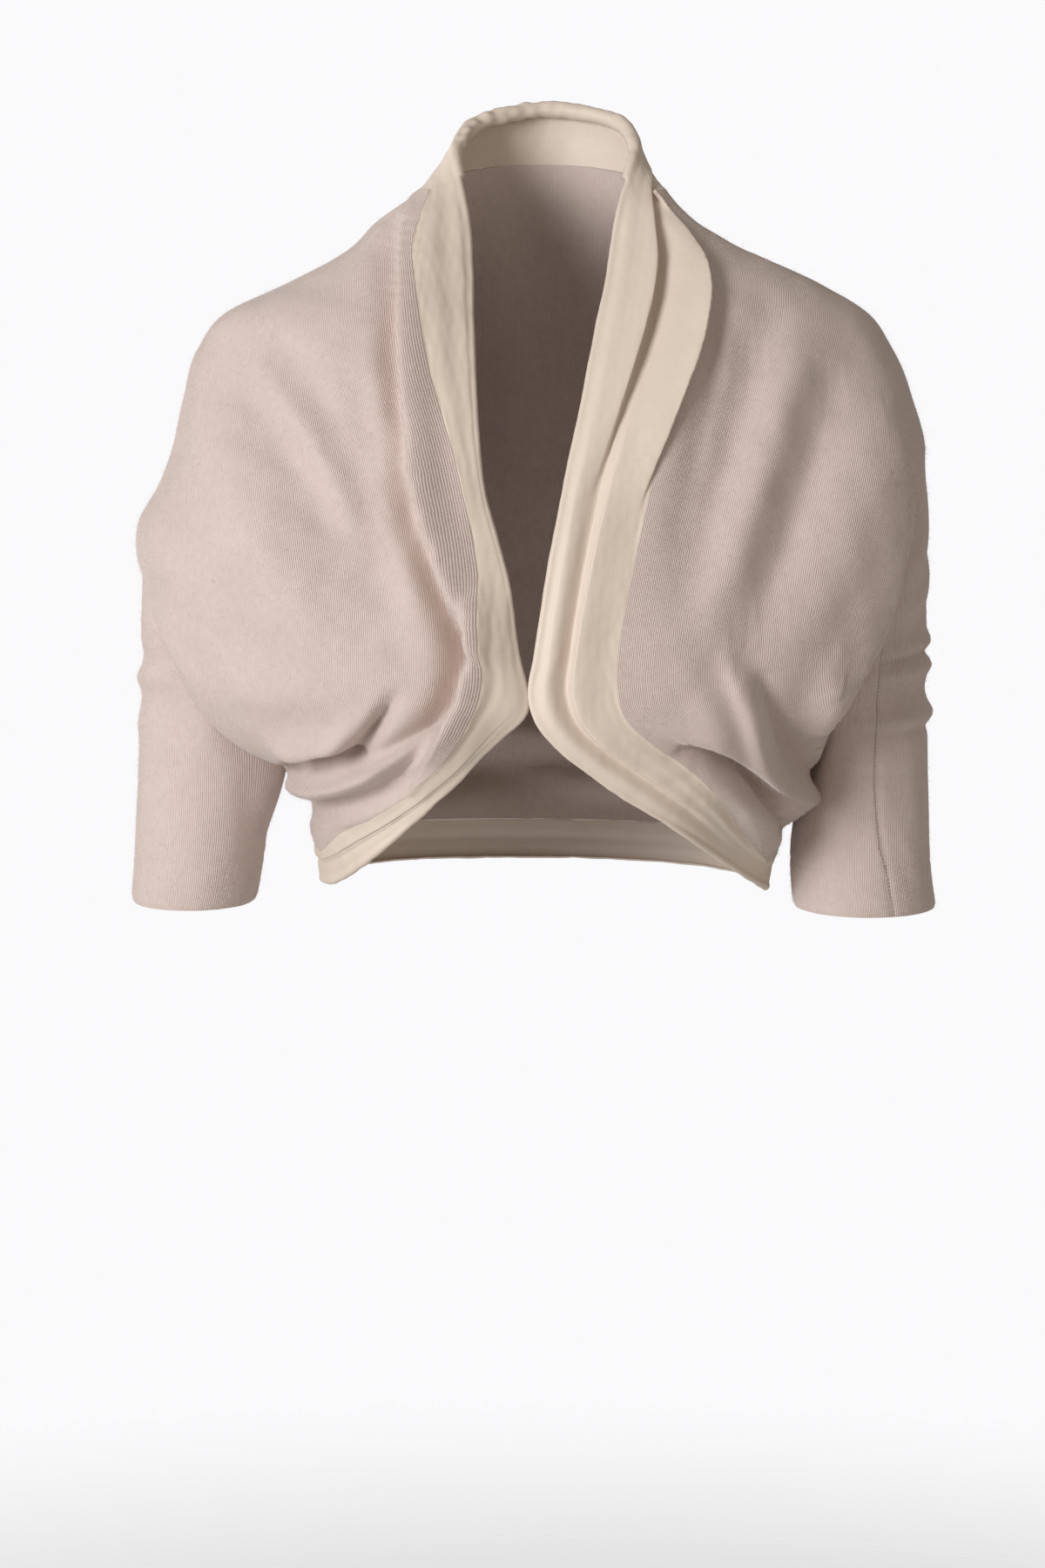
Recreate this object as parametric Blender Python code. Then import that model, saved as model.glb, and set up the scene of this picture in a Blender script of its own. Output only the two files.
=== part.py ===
"""A cropped cashmere cardigan with a wide silk band, hollow and in its worn shape.

The tables are in millimetres and the meshes in metres. +Z is up and the front faces -Y.
Right and left are the wearer's, so the right side is at -X. The origin is between the
shoulders at the foot of the neck, where the wearer carries the garment.
"""

import math

import bmesh
import bpy
import numpy as np

MM = 0.001
KNIT_THICK = 2.0
SILK_THICK = 1.4
SEAM_GAP = 0.3
RIGHT, LEFT = -1, 1

# The body's half-widths at each height, on the wearer's right and left.
OUTLINE = (
    # height, right, left
    (46, 60, 61),
    (32, 67, 69),
    (14, 91, 86),
    (0, 105, 110),
    (-18, 137, 151),
    (-34, 172, 179),
    (-54, 189, 194),
    (-83, 198, 206),
    (-112, 205, 213),
    (-130, 212, 209),
    (-150, 223, 203),
    (-168, 224, 198),
    (-183, 219, 194),
    (-223, 200, 180),
    (-244, 189, 167),
    (-264, 174, 151),
    (-290, 143, 138),
    (-308, 129, 135),
    (-322, 128, 133),
    (-345, 125, 129),
)

# How far the body reaches forward and back of its widest line, and how square it is.
DEPTH = (
    # height, front, back, squareness
    (46, 20, 60, 2.0),
    (32, 26, 63, 2.0),
    (0, 46, 74, 2.0),
    (-40, 69, 88, 2.1),
    (-90, 94, 99, 2.3),
    (-150, 113, 106, 2.5),
    (-210, 125, 108, 2.5),
    (-250, 127, 105, 2.5),
    (-300, 113, 95, 2.4),
    (-345, 97, 84, 2.3),
)

# Where the cashmere ends and the silk band begins, as a distance from the middle.
RIGHT_FRONT_EDGE = (
    # height, distance
    (32, 61),
    (3, 66),
    (-25, 63),
    (-58, 58),
    (-118, 43),
    (-176, 31),
    (-210, 28),
    (-228, 29),
    (-246, 35),
    (-258, 42),
    (-273, 54),
    (-291, 76),
    (-316, 109),
    (-331, 122),
)
LEFT_FRONT_EDGE = (
    # height, distance
    (32, 62),
    (12, 77),
    (-11, 85),
    (-38, 82),
    (-69, 73),
    (-124, 58),
    (-173, 47),
    (-207, 41),
    (-226, 40),
    (-246, 46),
    (-259, 60),
    (-273, 79),
    (-312, 107),
    (-336, 124),
)

# The silk's free edge, beside the height of the seam that it lies across from.
RIGHT_FREE_EDGE = (
    # seam height, x, y, z
    (32, -46, -7, 44),
    (3, -39, -26, 12),
    (-25, -38, -48, -20),
    (-58, -37, -69, -50),
    (-118, -32, -101, -120),
    (-176, -17, -118, -178),
    (-210, -11, -122, -210),
    (-228, -9, -123, -234),
    (-246, -18, -122, -256),
    (-258, -28, -120, -267),
    (-273, -44, -116, -281),
    (-291, -64, -107, -298),
    (-316, -98, -76, -331),
    (-331, -116, -36, -350),
)
LEFT_FREE_EDGE = (
    # seam height, x, y, z
    (32, 48, -7, 45),
    (12, 42, -20, 18),
    (-11, 38, -40, -9),
    (-38, 31, -60, -40),
    (-69, 25, -79, -70),
    (-124, 13, -103, -124),
    (-173, 4, -117, -173),
    (-207, -2, -123, -211),
    (-226, -5, -124, -234),
    (-246, 5, -124, -255),
    (-259, 20, -122, -269),
    (-273, 42, -118, -285),
    (-312, 92, -90, -321),
    (-336, 122, -39, -350),
)

# The top of the standing band, from the right front of the neck round the nape.
COLLAR_TOP = (
    # share of the way round, x, y, z
    (0.0, -46, -7, 44),
    (0.16, -50, 14, 55),
    (0.33, -37, 42, 69),
    (0.5, 4, 58, 76),
    (0.67, 45, 42, 69),
    (0.84, 56, 14, 55),
    (1.0, 48, -7, 45),
)
NAPE_LIFT = 13
COLLAR_BULGE = 2.5

# The silk turns under along its whole free edge, and rolls over widest at the nape.
EDGE_RADIUS, NAPE_RADIUS = 2.2, 4.6
EDGE_TURN, NAPE_TURN = math.radians(150), math.radians(270)

HEM_BAND_DROP = 21

# Each armhole is an oval: the heights of its ends, and its half-width as a turn.
ARMHOLES = {
    # side: top, bottom, half-width in degrees
    RIGHT: (-176, -290, 15),
    LEFT: (-108, -264, 15),
}

# The body stands out round the start of each sleeve, except over the arm and under it.
LIP_HEIGHT, LIP_AWAY = 8, 9
LIP_OVER, LIP_OVER_AWAY = 4, 6
LIP_FADE_UNDER, LIP_FADE_OVER = 45, 35
TURN_TO_MM = 150

# Rows of the panels between the neck, shoulder, top and foot of the armhole, and hem.
PANEL_ROWS = {RIGHT: (6, 8, 8, 6), LEFT: (6, 4, 11, 7)}
NECK_HEIGHT, SHOULDER_HEIGHT = 32, -45
HEM_HEIGHT = {RIGHT: -331, LEFT: -336}
FRONT_COLUMNS, BACK_COLUMNS = 16, 22
SIDE_CROWDING = 1.4
PLAIN_CELLS = 3

# Each sleeve's centre line and its radius across and front to back.
SLEEVES = {
    RIGHT: (
        # height, x, y, radius across, radius front to back
        (-176, -187, 3, 38, 29),
        (-230, -187, 3, 37, 31),
        (-290, -189, 2, 38, 36),
        (-345, -193, -3, 36.5, 37),
        (-368, -196, -5, 35, 36),
    ),
    LEFT: (
        # height, x, y, radius across, radius front to back
        (-108, 180, 3, 40, 29),
        (-200, 179, 3, 38, 30),
        (-264, 183, 3, 34, 34),
        (-310, 181, 1, 37.5, 38),
        (-345, 180.5, -3, 39.5, 40),
        (-371, 183, -5, 40.5, 41),
    ),
}
CUFF_HEIGHT = {RIGHT: -364, LEFT: -367}
SLEEVE_ROWS = {RIGHT: 14, LEFT: 17}
SLEEVE_BLEND = 0.55

# Rings where the sleeve crumples on the upper arm, strongest on the outer side. The slant
# is how far a ring's front lies below its outer side.
SLEEVE_RINGS = {
    RIGHT: (
        # height, half-height, lift, slant
        (-208, 8, 4.0, 4),
        (-238, 7, 5.0, -4),
    ),
    LEFT: (
        # height, half-height, lift, slant
        (-136, 15, 9.0, 50),
        (-178, 8, 4.0, 25),
        (-222, 7, 4.5, 3),
        (-259, 7, 4.5, 0),
    ),
}

# The largest folds of the fronts and back, as a bend from start through middle to end.
# A lift above zero is a ridge, and below zero a trough.
FRONT_FOLDS = (
    # start x, z, middle x, z, end x, z, half-width, lift
    (-78, 10, -74, -100, -40, -205, 11, 9.0),
    (-98, -30, -98, -120, -58, -232, 9, -6.0),
    (-150, -48, -100, -60, -76, -150, 15, -10.0),
    (-166, -66, -130, -104, -88, -180, 16, -9.0),
    (-132, -50, -104, -66, -86, -130, 9, 5.0),
    (-176, -100, -150, -170, -104, -214, 17, 5.0),
    (-138, -300, -98, -299, -48, -264, 8, 10.0),
    (-122, -280, -108, -288, -92, -276, 8, -14.0),
    (-94, -262, -84, -280, -70, -274, 8, -11.0),
    (-116, -314, -86, -310, -58, -286, 7, -6.0),
    (-150, -262, -128, -274, -112, -262, 9, 5.0),
    (122, -36, 102, -100, 78, -176, 15, -9.0),
    (162, -58, 144, -120, 110, -210, 16, -9.0),
    (190, -76, 174, -140, 138, -220, 15, 6.0),
    (108, -210, 126, -252, 128, -300, 11, 9.0),
    (84, -226, 96, -250, 104, -268, 9, 5.0),
    (66, -268, 104, -264, 132, -312, 7, -10.0),
    (118, -268, 124, -298, 116, -324, 13, 21.0),
)
BACK_FOLDS = (
    # start x, z, middle x, z, end x, z, half-width, lift
    (-150, -60, -120, -150, -60, -236, 17, -9.0),
    (-172, -90, -150, -180, -100, -266, 15, 7.0),
    (146, -62, 118, -150, 66, -240, 17, -9.0),
    (176, -96, 150, -186, 96, -272, 15, 7.0),
    (-116, -316, -40, -296, 20, -308, 11, 8.0),
    (-90, -286, -30, -276, 40, -292, 10, -7.0),
    (-20, -302, 50, -322, 116, -304, 10, -6.0),
    (-34, 10, -8, -70, 12, -160, 20, -6.0),
)
FOLD_SAMPLES = 25

# The pleats of the silk: how far across the band they run, and their lift along it.
RIGHT_PLEATS = (
    # share across, half-width, lift at the neck, middle and hem
    (0.40, 0.24, 8.0, 6.0, 7.0),
    (0.78, 0.14, 0.0, 0.0, -6.0),
)
LEFT_PLEATS = (
    # share across, half-width, lift at the neck, middle and hem
    (0.17, 0.15, 3.0, 4.0, 3.0),
    (0.42, 0.13, -2.0, -4.0, 0.0),
    (0.72, 0.20, 4.0, 8.0, 4.0),
)
PLEAT_FADE = 0.3
PLEATED_WIDTH = 45
STAND_ROWS, EDGE_ROWS = 8, 4
HEM_STEP = 4

CASHMERE = {"colour": (0.66, 0.55, 0.50, 1), "roughness": 0.95}
SILK = {"colour": (0.72, 0.64, 0.53, 1), "roughness": 0.6}


def smooth(table, column, at):
    """The column's values on a smooth curve through the table's rows."""
    rows = np.array(sorted(table), float)
    known, values = rows[:, 0], rows[:, column]
    slope = np.gradient(values, known)
    at = np.clip(at, known[0], known[-1])
    before = np.clip(np.searchsorted(known, at) - 1, 0, len(known) - 2)
    span = known[before + 1] - known[before]
    share = (at - known[before]) / span
    return (
        (1 + 2 * share) * (1 - share) ** 2 * values[before]
        + share * (1 - share) ** 2 * span * slope[before]
        + share**2 * (3 - 2 * share) * values[before + 1]
        - share**2 * (1 - share) * span * slope[before + 1]
    )


def ease(share):
    share = np.clip(share, 0, 1)
    return share * share * (3 - 2 * share)


def unit(vectors):
    return vectors / np.maximum(np.linalg.norm(vectors, axis=-1, keepdims=True), 1e-9)


def power(value, exponent):
    return np.sign(value) * np.abs(value) ** exponent


def plain_body(height, turn):
    """The body without folds. A turn of 0 is the front, -90 degrees the right side, 180 the back."""
    across, forward = np.sin(turn), np.cos(turn)
    width = np.where(across < 0, smooth(OUTLINE, 1, height), smooth(OUTLINE, 2, height))
    reach = np.where(forward > 0, smooth(DEPTH, 1, height), smooth(DEPTH, 2, height))
    exponent = 2 / smooth(DEPTH, 3, height)
    return np.stack(
        [width * power(across, exponent), -reach * power(forward, exponent), height],
        axis=-1,
    )


def outward(height, turn):
    """The plain body's outward directions."""
    up = plain_body(height + 2, turn) - plain_body(height - 2, turn)
    step = math.radians(2)
    past = plain_body(height, turn + step) - plain_body(height, turn - step)
    direction = unit(np.cross(past, up))
    facing = (direction[..., :2] * plain_body(height, turn)[..., :2]).sum(-1, keepdims=True)
    return direction * np.where(facing < 0, -1, 1)


def fold_lift(x, z, folds):
    """How far the folds lift the cloth at each x and z, as seen from the front or back."""
    lift = np.zeros_like(x)
    share = np.linspace(0, 1, FOLD_SAMPLES)
    for start_x, start_z, middle_x, middle_z, end_x, end_z, half_width, height in folds:
        parts = (1 - share) ** 2, 2 * share * (1 - share), share**2
        line_x = parts[0] * start_x + parts[1] * middle_x + parts[2] * end_x
        line_z = parts[0] * start_z + parts[1] * middle_z + parts[2] * end_z
        away = (x[..., None] - line_x) ** 2 + (z[..., None] - line_z) ** 2
        along = share[away.argmin(-1)]
        fade = np.sin(math.pi * (0.08 + 0.84 * along)) ** 0.8
        lift += height * fade * np.exp(-away.min(-1) / half_width**2)
    return lift


def armhole(side, share, inset=0.0):
    """Heights and swings of one armhole's half, from its top (0) to its foot (1)."""
    top, foot, half_width = ARMHOLES[side]
    around = math.pi * share
    height = (top + foot) / 2 + ((top - foot) / 2 - inset) * np.cos(around)
    return height, (math.radians(half_width) - inset / TURN_TO_MM) * np.sin(around)


def armhole_lip(height, turn):
    """Each place moved towards the nearer armhole, and how far the cloth stands out there."""
    side = np.where(np.sin(turn) < 0, RIGHT, LEFT)
    top, foot, half_width = (
        np.where(side == RIGHT, ARMHOLES[RIGHT][part], ARMHOLES[LEFT][part]) for part in range(3)
    )
    across = (math.pi / 2 - np.arccos(np.cos(turn))) * TURN_TO_MM
    up = height - (top + foot) / 2
    stretch = np.hypot(across / (np.radians(half_width) * TURN_TO_MM), up / ((top - foot) / 2))
    reach = np.maximum(np.hypot(across, up), 1)
    away = np.maximum(reach * (1 - 1 / np.maximum(stretch, 0.5)), 0)
    fade = ease((height - foot) / LIP_FADE_UNDER) * ease((top - height) / LIP_FADE_OVER)
    over = LIP_OVER * fade * away / LIP_OVER_AWAY * np.exp(1 - away / LIP_OVER_AWAY)
    lift = LIP_HEIGHT * fade * away / LIP_AWAY * np.exp(1 - away / LIP_AWAY)
    moved_turn = turn + side * across / reach * over / TURN_TO_MM
    return height - up / reach * over, moved_turn, lift


def body(height, turn):
    """The body's outer surface with its folds, and the plain body's outward directions."""
    height, turn, lip = armhole_lip(height, turn)
    points, out = plain_body(height, turn), outward(height, turn)
    facing = np.cos(turn)
    side_fade = ease(np.abs(facing) / 0.25)
    front = fold_lift(points[..., 0], points[..., 2], FRONT_FOLDS)
    back = fold_lift(points[..., 0], points[..., 2], BACK_FOLDS)
    lift = np.where(facing > 0, front, back) * side_fade
    return points + out * (lift + lip)[..., None], out


def panel_sides(side):
    """Each row's height at the side seam, and how far the armhole swings it from the side."""
    shoulder, upper, hole, lower = PANEL_ROWS[side]
    top, foot, _ = ARMHOLES[side]
    hole_heights, hole_swings = armhole(side, np.linspace(0, 1, hole + 1))
    heights = np.concatenate(
        [
            np.linspace(NECK_HEIGHT, SHOULDER_HEIGHT, shoulder + 1)[:-1],
            np.linspace(SHOULDER_HEIGHT, top, upper + 1)[:-1],
            hole_heights[:-1],
            np.linspace(foot, HEM_HEIGHT[side], lower + 1),
        ]
    )
    swings = np.zeros_like(heights)
    swings[shoulder + upper : shoulder + upper + hole + 1] = hole_swings
    return heights, swings


def front_edge_turn(side, height):
    """The turn at which the cashmere ends, from its distance to the middle."""
    table = RIGHT_FRONT_EDGE if side == RIGHT else LEFT_FRONT_EDGE
    width = smooth(OUTLINE, 1 if side == RIGHT else 2, height)
    share = np.clip(smooth(table, 1, height) / width, 0, 0.99)
    return side * np.arcsin(share ** (smooth(DEPTH, 3, height) / 2))


def front_grid(side):
    """Heights and turns of a front's rows, each from the side to the front edge."""
    heights, swings = panel_sides(side)
    side_turn = side * (math.pi / 2 - swings)
    edge_turn = front_edge_turn(side, heights)
    crowding = 1 + (SIDE_CROWDING - 1) * ease(np.arange(len(heights)) / PANEL_ROWS[side][0])
    share = np.linspace(0, 1, FRONT_COLUMNS + 1) ** crowding[:, None]
    turn = side_turn[:, None] + (edge_turn - side_turn)[:, None] * share
    return np.broadcast_to(heights[:, None], turn.shape), turn


def back_grid():
    """Heights and turns of the back's rows, each from the right side to the left."""
    right_heights, right_swings = panel_sides(RIGHT)
    left_heights, left_swings = panel_sides(LEFT)
    start = -math.pi / 2 - right_swings
    end = -3 * math.pi / 2 + left_swings
    even = np.linspace(-1, 1, BACK_COLUMNS + 1)
    share = 0.5 + 0.5 * np.sign(even) * (1 - (1 - np.abs(even)) ** SIDE_CROWDING)
    turn = start[:, None] + (end - start)[:, None] * share
    height = right_heights[:, None] * (1 - share) + left_heights[:, None] * share
    below_neck = (NECK_HEIGHT - right_heights) / (NECK_HEIGHT - SHOULDER_HEIGHT)
    lift = NAPE_LIFT * (1 - ease(below_neck))
    return height + lift[:, None] * np.abs(np.cos(turn)), turn


def surface_directions(points, guide, closed=False):
    """The outward directions of a grid of points, on the side that the guide is on."""
    if closed:
        ring = np.concatenate([points[:, -2:-1], points, points[:, 1:2]], axis=1)
        past = ring[:, 2:] - ring[:, :-2]
    else:
        past = np.gradient(points, axis=1)
    directions = unit(np.cross(past, np.gradient(points, axis=0)))
    return directions * np.sign((directions * guide).sum())


def seam_directions(points, out, start_swings, end_swings):
    """A panel's directions, which turn to the plain body's at every seam but an armhole's."""
    rows, columns = (np.arange(count) for count in points.shape[:2])
    near_start = columns[None, :] + np.where(start_swings > 0.001, PLAIN_CELLS, 0)[:, None]
    near_end = columns[::-1][None, :] + np.where(end_swings > 0.001, PLAIN_CELLS, 0)[:, None]
    near_rows = np.minimum(rows, rows[::-1])[:, None]
    nearest = np.minimum(np.minimum(near_start, near_end), near_rows)
    own = ease(nearest / PLAIN_CELLS)[..., None]
    return unit(surface_directions(points, out) * own + out * (1 - own))


def trim(points, sides):
    """Draws the named sides of a grid of points back from their seams by half the gap."""
    points = points.copy()
    edges = {
        "top": (points[0], points[1]),
        "foot": (points[-1], points[-2]),
        "start": (points[:, 0], points[:, 1]),
        "end": (points[:, -1], points[:, -2]),
    }
    for name in sides:
        edge, inside = edges[name]
        run = unit(np.gradient(edge, axis=0))
        back = inside - edge
        edge += unit(back - run * (back * run).sum(-1, keepdims=True)) * SEAM_GAP / 2
    return points


def wall(name, outer, inner, material, closed=False):
    """A wall of cloth between two grids of points. A closed one joins its end columns."""
    rows, columns = outer.shape[0] - 1, outer.shape[1] - 1
    mesh = bpy.data.meshes.new(name)
    shape = bmesh.new()
    bmesh.ops.create_grid(shape, x_segments=columns, y_segments=rows, size=0.5)
    bmesh.ops.translate(shape, verts=shape.verts, vec=(0.5, 0.5, 0))
    made = bmesh.ops.extrude_face_region(shape, geom=shape.faces[:], use_keep_orig=True)
    raised = [v for v in made["geom"] if isinstance(v, bmesh.types.BMVert)]
    bmesh.ops.translate(shape, verts=raised, vec=(0, 0, 1))
    if closed:
        ends = [
            face
            for face in shape.faces
            if all(v.co.x < 0.001 for v in face.verts) or all(v.co.x > 0.999 for v in face.verts)
        ]
        bmesh.ops.delete(shape, geom=ends, context="FACES_ONLY")
    for vertex in shape.verts:
        column, row = round(vertex.co.x * columns), round(vertex.co.y * rows)
        face = outer if vertex.co.z > 0.5 else inner
        vertex.co = face[row, column] * MM
    if closed:
        bmesh.ops.remove_doubles(shape, verts=shape.verts, dist=0.00001)
    if shape.calc_volume(signed=True) < 0:
        bmesh.ops.reverse_faces(shape, faces=shape.faces)
    shape.to_mesh(mesh)
    shape.free()
    mesh.shade_smooth()
    mesh.set_sharp_from_angle(angle=math.radians(50))
    mesh.materials.append(material)
    piece = bpy.data.objects.new(name, mesh)
    bpy.data.collections["cardigan"].objects.link(piece)


def cloth(name, points, directions, thick, material, seams, closed=False):
    """A wall whose outer face is the points and whose inner face lies its thickness inside."""
    outer = trim(points, seams)
    wall(name, outer, outer - directions * thick, material, closed)


def front_panel(side, material):
    points, out = body(*front_grid(side))
    directions = seam_directions(points, out, panel_sides(side)[1], np.zeros(len(points)))
    name = "right_front" if side == RIGHT else "left_front"
    cloth(name, points, directions, KNIT_THICK, material, ("top", "foot", "start", "end"))


def back_panel(material):
    points, out = body(*back_grid())
    directions = seam_directions(points, out, panel_sides(RIGHT)[1], panel_sides(LEFT)[1])
    cloth("back", points, directions, KNIT_THICK, material, ("top", "foot", "start", "end"))


def sleeve(side, material):
    """A tube that starts on the slanted armhole and becomes round on its way to the cuff."""
    around = np.linspace(0, 2 * math.pi, 2 * PANEL_ROWS[side][2] + 1)
    seam_height, swing = armhole(side, around / math.pi, inset=SEAM_GAP * 1.5)
    seam, _ = body(seam_height, side * (math.pi / 2 - swing))
    down = np.linspace(0, 1, SLEEVE_ROWS[side] + 1)[:, None]
    height = seam[:, 2] + (CUFF_HEIGHT[side] - seam[:, 2]) * down
    across, front = side * np.cos(around), -np.sin(around)
    swell = np.zeros_like(height)
    for ring_height, half_height, lift, slant in SLEEVE_RINGS[side]:
        strength = np.maximum(0, np.cos(around - 0.3)) ** 1.5
        away = (height - ring_height + slant * np.sin(around)) / half_height
        swell += lift * strength * np.exp(-(away**2))
    table = SLEEVES[side]
    tube = np.stack(
        [
            smooth(table, 1, height) + across * (smooth(table, 3, height) + swell),
            smooth(table, 2, height) + front * (smooth(table, 4, height) + swell),
            height,
        ],
        axis=-1,
    )
    blend = ease(down / SLEEVE_BLEND)[..., None]
    points = seam * (1 - blend) + tube * blend
    points[..., 2] = height
    guide = np.stack([across, front, np.zeros_like(across)], axis=-1) * down[..., None]
    directions = surface_directions(points, guide, closed=True)
    name = "right_sleeve" if side == RIGHT else "left_sleeve"
    cloth(name, points, directions, KNIT_THICK, material, (), closed=True)


def free_edge(side, heights):
    table = RIGHT_FREE_EDGE if side == RIGHT else LEFT_FREE_EDGE
    return np.stack([smooth(table, column, heights) for column in (1, 2, 3)], axis=-1)


def pleat_lift(pleats, along):
    """The pleats' lift on each row of the band, at each share of the way down a front."""
    across = np.linspace(0, 1, STAND_ROWS + 1)[:, None]
    lift = np.zeros((STAND_ROWS + 1, len(along)))
    for share, half_width, at_neck, at_middle, at_hem in pleats:
        height = np.interp(along, (0, 0.5, 1), (at_neck, at_middle, at_hem))
        lift += height * np.exp(-(((across - share) / half_width) ** 2))
    return lift * np.sin(math.pi * across) ** 0.35


def band_loop():
    """The silk band's points, directions and joints, from the right front's foot round the
    neck, down the left front and back round the hem."""
    heights, _ = panel_sides(RIGHT)
    right_seam = body(heights, front_edge_turn(RIGHT, heights))
    left_heights, _ = panel_sides(LEFT)
    left_seam = body(left_heights, front_edge_turn(LEFT, left_heights))
    back_height, back_turn = back_grid()
    nape = body(back_height[0], back_turn[0])
    rear = body(back_height[-1], back_turn[-1])
    corners = []
    for side in (RIGHT, LEFT):
        grid_height, grid_turn = front_grid(side)
        inner = slice(HEM_STEP, FRONT_COLUMNS, HEM_STEP)
        corners.append(body(grid_height[-1, inner], grid_turn[-1, inner]))
    sections = [
        [part[::-1] for part in right_seam],
        nape,
        left_seam,
        [part[::-1] for part in corners[1]],
        [part[::-1] for part in rear],
        corners[0],
        [part[-1:] for part in right_seam],
    ]
    seam = np.concatenate([points for points, _ in sections])
    out = np.concatenate([directions for _, directions in sections])
    rows, nape_count = len(heights), len(nape[0])
    left_start = rows + nape_count
    hem_start = left_start + rows
    joints = rows - 1, left_start, hem_start - 1, len(seam) - 1

    neck = seam[rows - 1 : left_start + 1]
    steps = np.linalg.norm(np.diff(neck, axis=0), axis=1)
    way = (np.cumsum(steps) / steps.sum())[:-1]
    collar = np.stack([smooth(COLLAR_TOP, column, way) for column in (1, 2, 3)], axis=-1)
    right_free, left_free = free_edge(RIGHT, heights)[::-1], free_edge(LEFT, left_heights)
    drop = -out[hem_start:] * 2 - [0, 0, HEM_BAND_DROP]
    count = np.arange(1, len(drop) + 1)[:, None]
    from_left = 1 - ease(count / (FRONT_COLUMNS / HEM_STEP))
    from_right = from_left[::-1]
    from_right = np.concatenate([from_right[1:], [[1.0]]])
    left_drop, right_drop = left_free[-1] - seam[hem_start - 1], right_free[0] - seam[0]
    drop = drop * (1 - from_left - from_right) + left_drop * from_left + right_drop * from_right
    free = np.concatenate([right_free, collar, left_free, seam[hem_start:] + drop])

    along = np.linspace(0, 1, rows)
    right_lift, left_lift = pleat_lift(RIGHT_PLEATS, along), pleat_lift(LEFT_PLEATS, along)
    fade = np.exp(-((way / PLEAT_FADE) ** 2)), np.exp(-(((1 - way) / PLEAT_FADE) ** 2))
    bulge = np.sin(math.pi * np.linspace(0, 1, STAND_ROWS + 1))[:, None]
    nape_lift = right_lift[:, :1] * fade[0] + left_lift[:, :1] * fade[1]
    nape_lift = nape_lift + COLLAR_BULGE * bulge * np.sin(math.pi * way)
    hem_lift = left_lift[:, -1:] * from_left[:, 0] + right_lift[:, -1:] * from_right[:, 0]
    lift = np.concatenate([right_lift[:, ::-1], nape_lift, left_lift, hem_lift], axis=1)

    rise = free - seam
    lift *= np.clip(np.linalg.norm(rise, axis=-1) / PLEATED_WIDTH, 0, 1)
    ring = np.concatenate([seam[-2:-1], seam, seam[1:2]])
    flat = unit(np.cross(rise, ring[2:] - ring[:-2]))
    flat *= np.where((flat * out).sum(-1, keepdims=True) < 0, -1, 1)
    share = np.linspace(0, 1, STAND_ROWS + 1)[:, None, None]
    turned = ease(share / 0.3)
    stand_out = unit(out * (1 - turned) + flat * turned)
    stand = seam + rise * share + stand_out * lift[..., None]
    swell = np.zeros(len(seam))
    swell[rows:left_start] = np.sqrt(np.sin(math.pi * way))
    radius = (EDGE_RADIUS + (NAPE_RADIUS - EDGE_RADIUS) * swell)[:, None]
    angle = (EDGE_TURN + (NAPE_TURN - EDGE_TURN) * swell)[:, None]
    angle = angle * np.linspace(0, 1, EDGE_ROWS + 1)[1:, None, None]
    run = np.concatenate([free[-2:-1], free, free[1:2]])
    run = unit(run[2:] - run[:-2])
    flat = unit(flat - run * (flat * run).sum(-1, keepdims=True))
    ahead = np.cross(flat, run)
    ahead *= np.sign((ahead * rise).sum(-1, keepdims=True))
    over = free - flat * radius + (flat * np.cos(angle) + ahead * np.sin(angle)) * radius
    points = np.concatenate([stand, over])
    directions = surface_directions(points, np.concatenate([stand_out, over * 0]), closed=True)
    directions[0] = out
    return points, directions, joints


def bands(material):
    points, directions, joints = band_loop()
    starts = (0, *joints[:-1])
    names = "right_band", "neck_band", "left_band", "hem_band"
    for name, start, end in zip(names, starts, joints):
        part = slice(start, end + 1)
        seams = "top", "start", "end"
        cloth(name, points[:, part], directions[:, part], SILK_THICK, material, seams)


def material(name, colour, roughness):
    made = bpy.data.materials.new(name)
    made.use_nodes = True
    shader = made.node_tree.nodes["Principled BSDF"]
    shader.inputs["Base Color"].default_value = colour
    shader.inputs["Roughness"].default_value = roughness
    shader.inputs["Metallic"].default_value = 0
    return made


def main():
    for piece in list(bpy.data.objects):
        bpy.data.objects.remove(piece)
    cardigan = bpy.data.collections.new("cardigan")
    bpy.context.scene.collection.children.link(cardigan)
    cashmere = material("cashmere", **CASHMERE)
    silk = material("silk", **SILK)
    back_panel(cashmere)
    for side in (RIGHT, LEFT):
        front_panel(side, cashmere)
        sleeve(side, cashmere)
    bands(silk)


main()
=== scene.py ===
"""The looks of a cropped cashmere cardigan with a wide silk band.

Every cloth piece is a thin shell on its solid's form, worked out again from the same named
sizes on a finer grid. The tables are in millimetres and the meshes in metres. +Z is up, the
front faces -Y, and right and left are as worn.
"""

import math

import bmesh
import bpy
import numpy as np
from mathutils import Matrix, Vector


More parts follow.
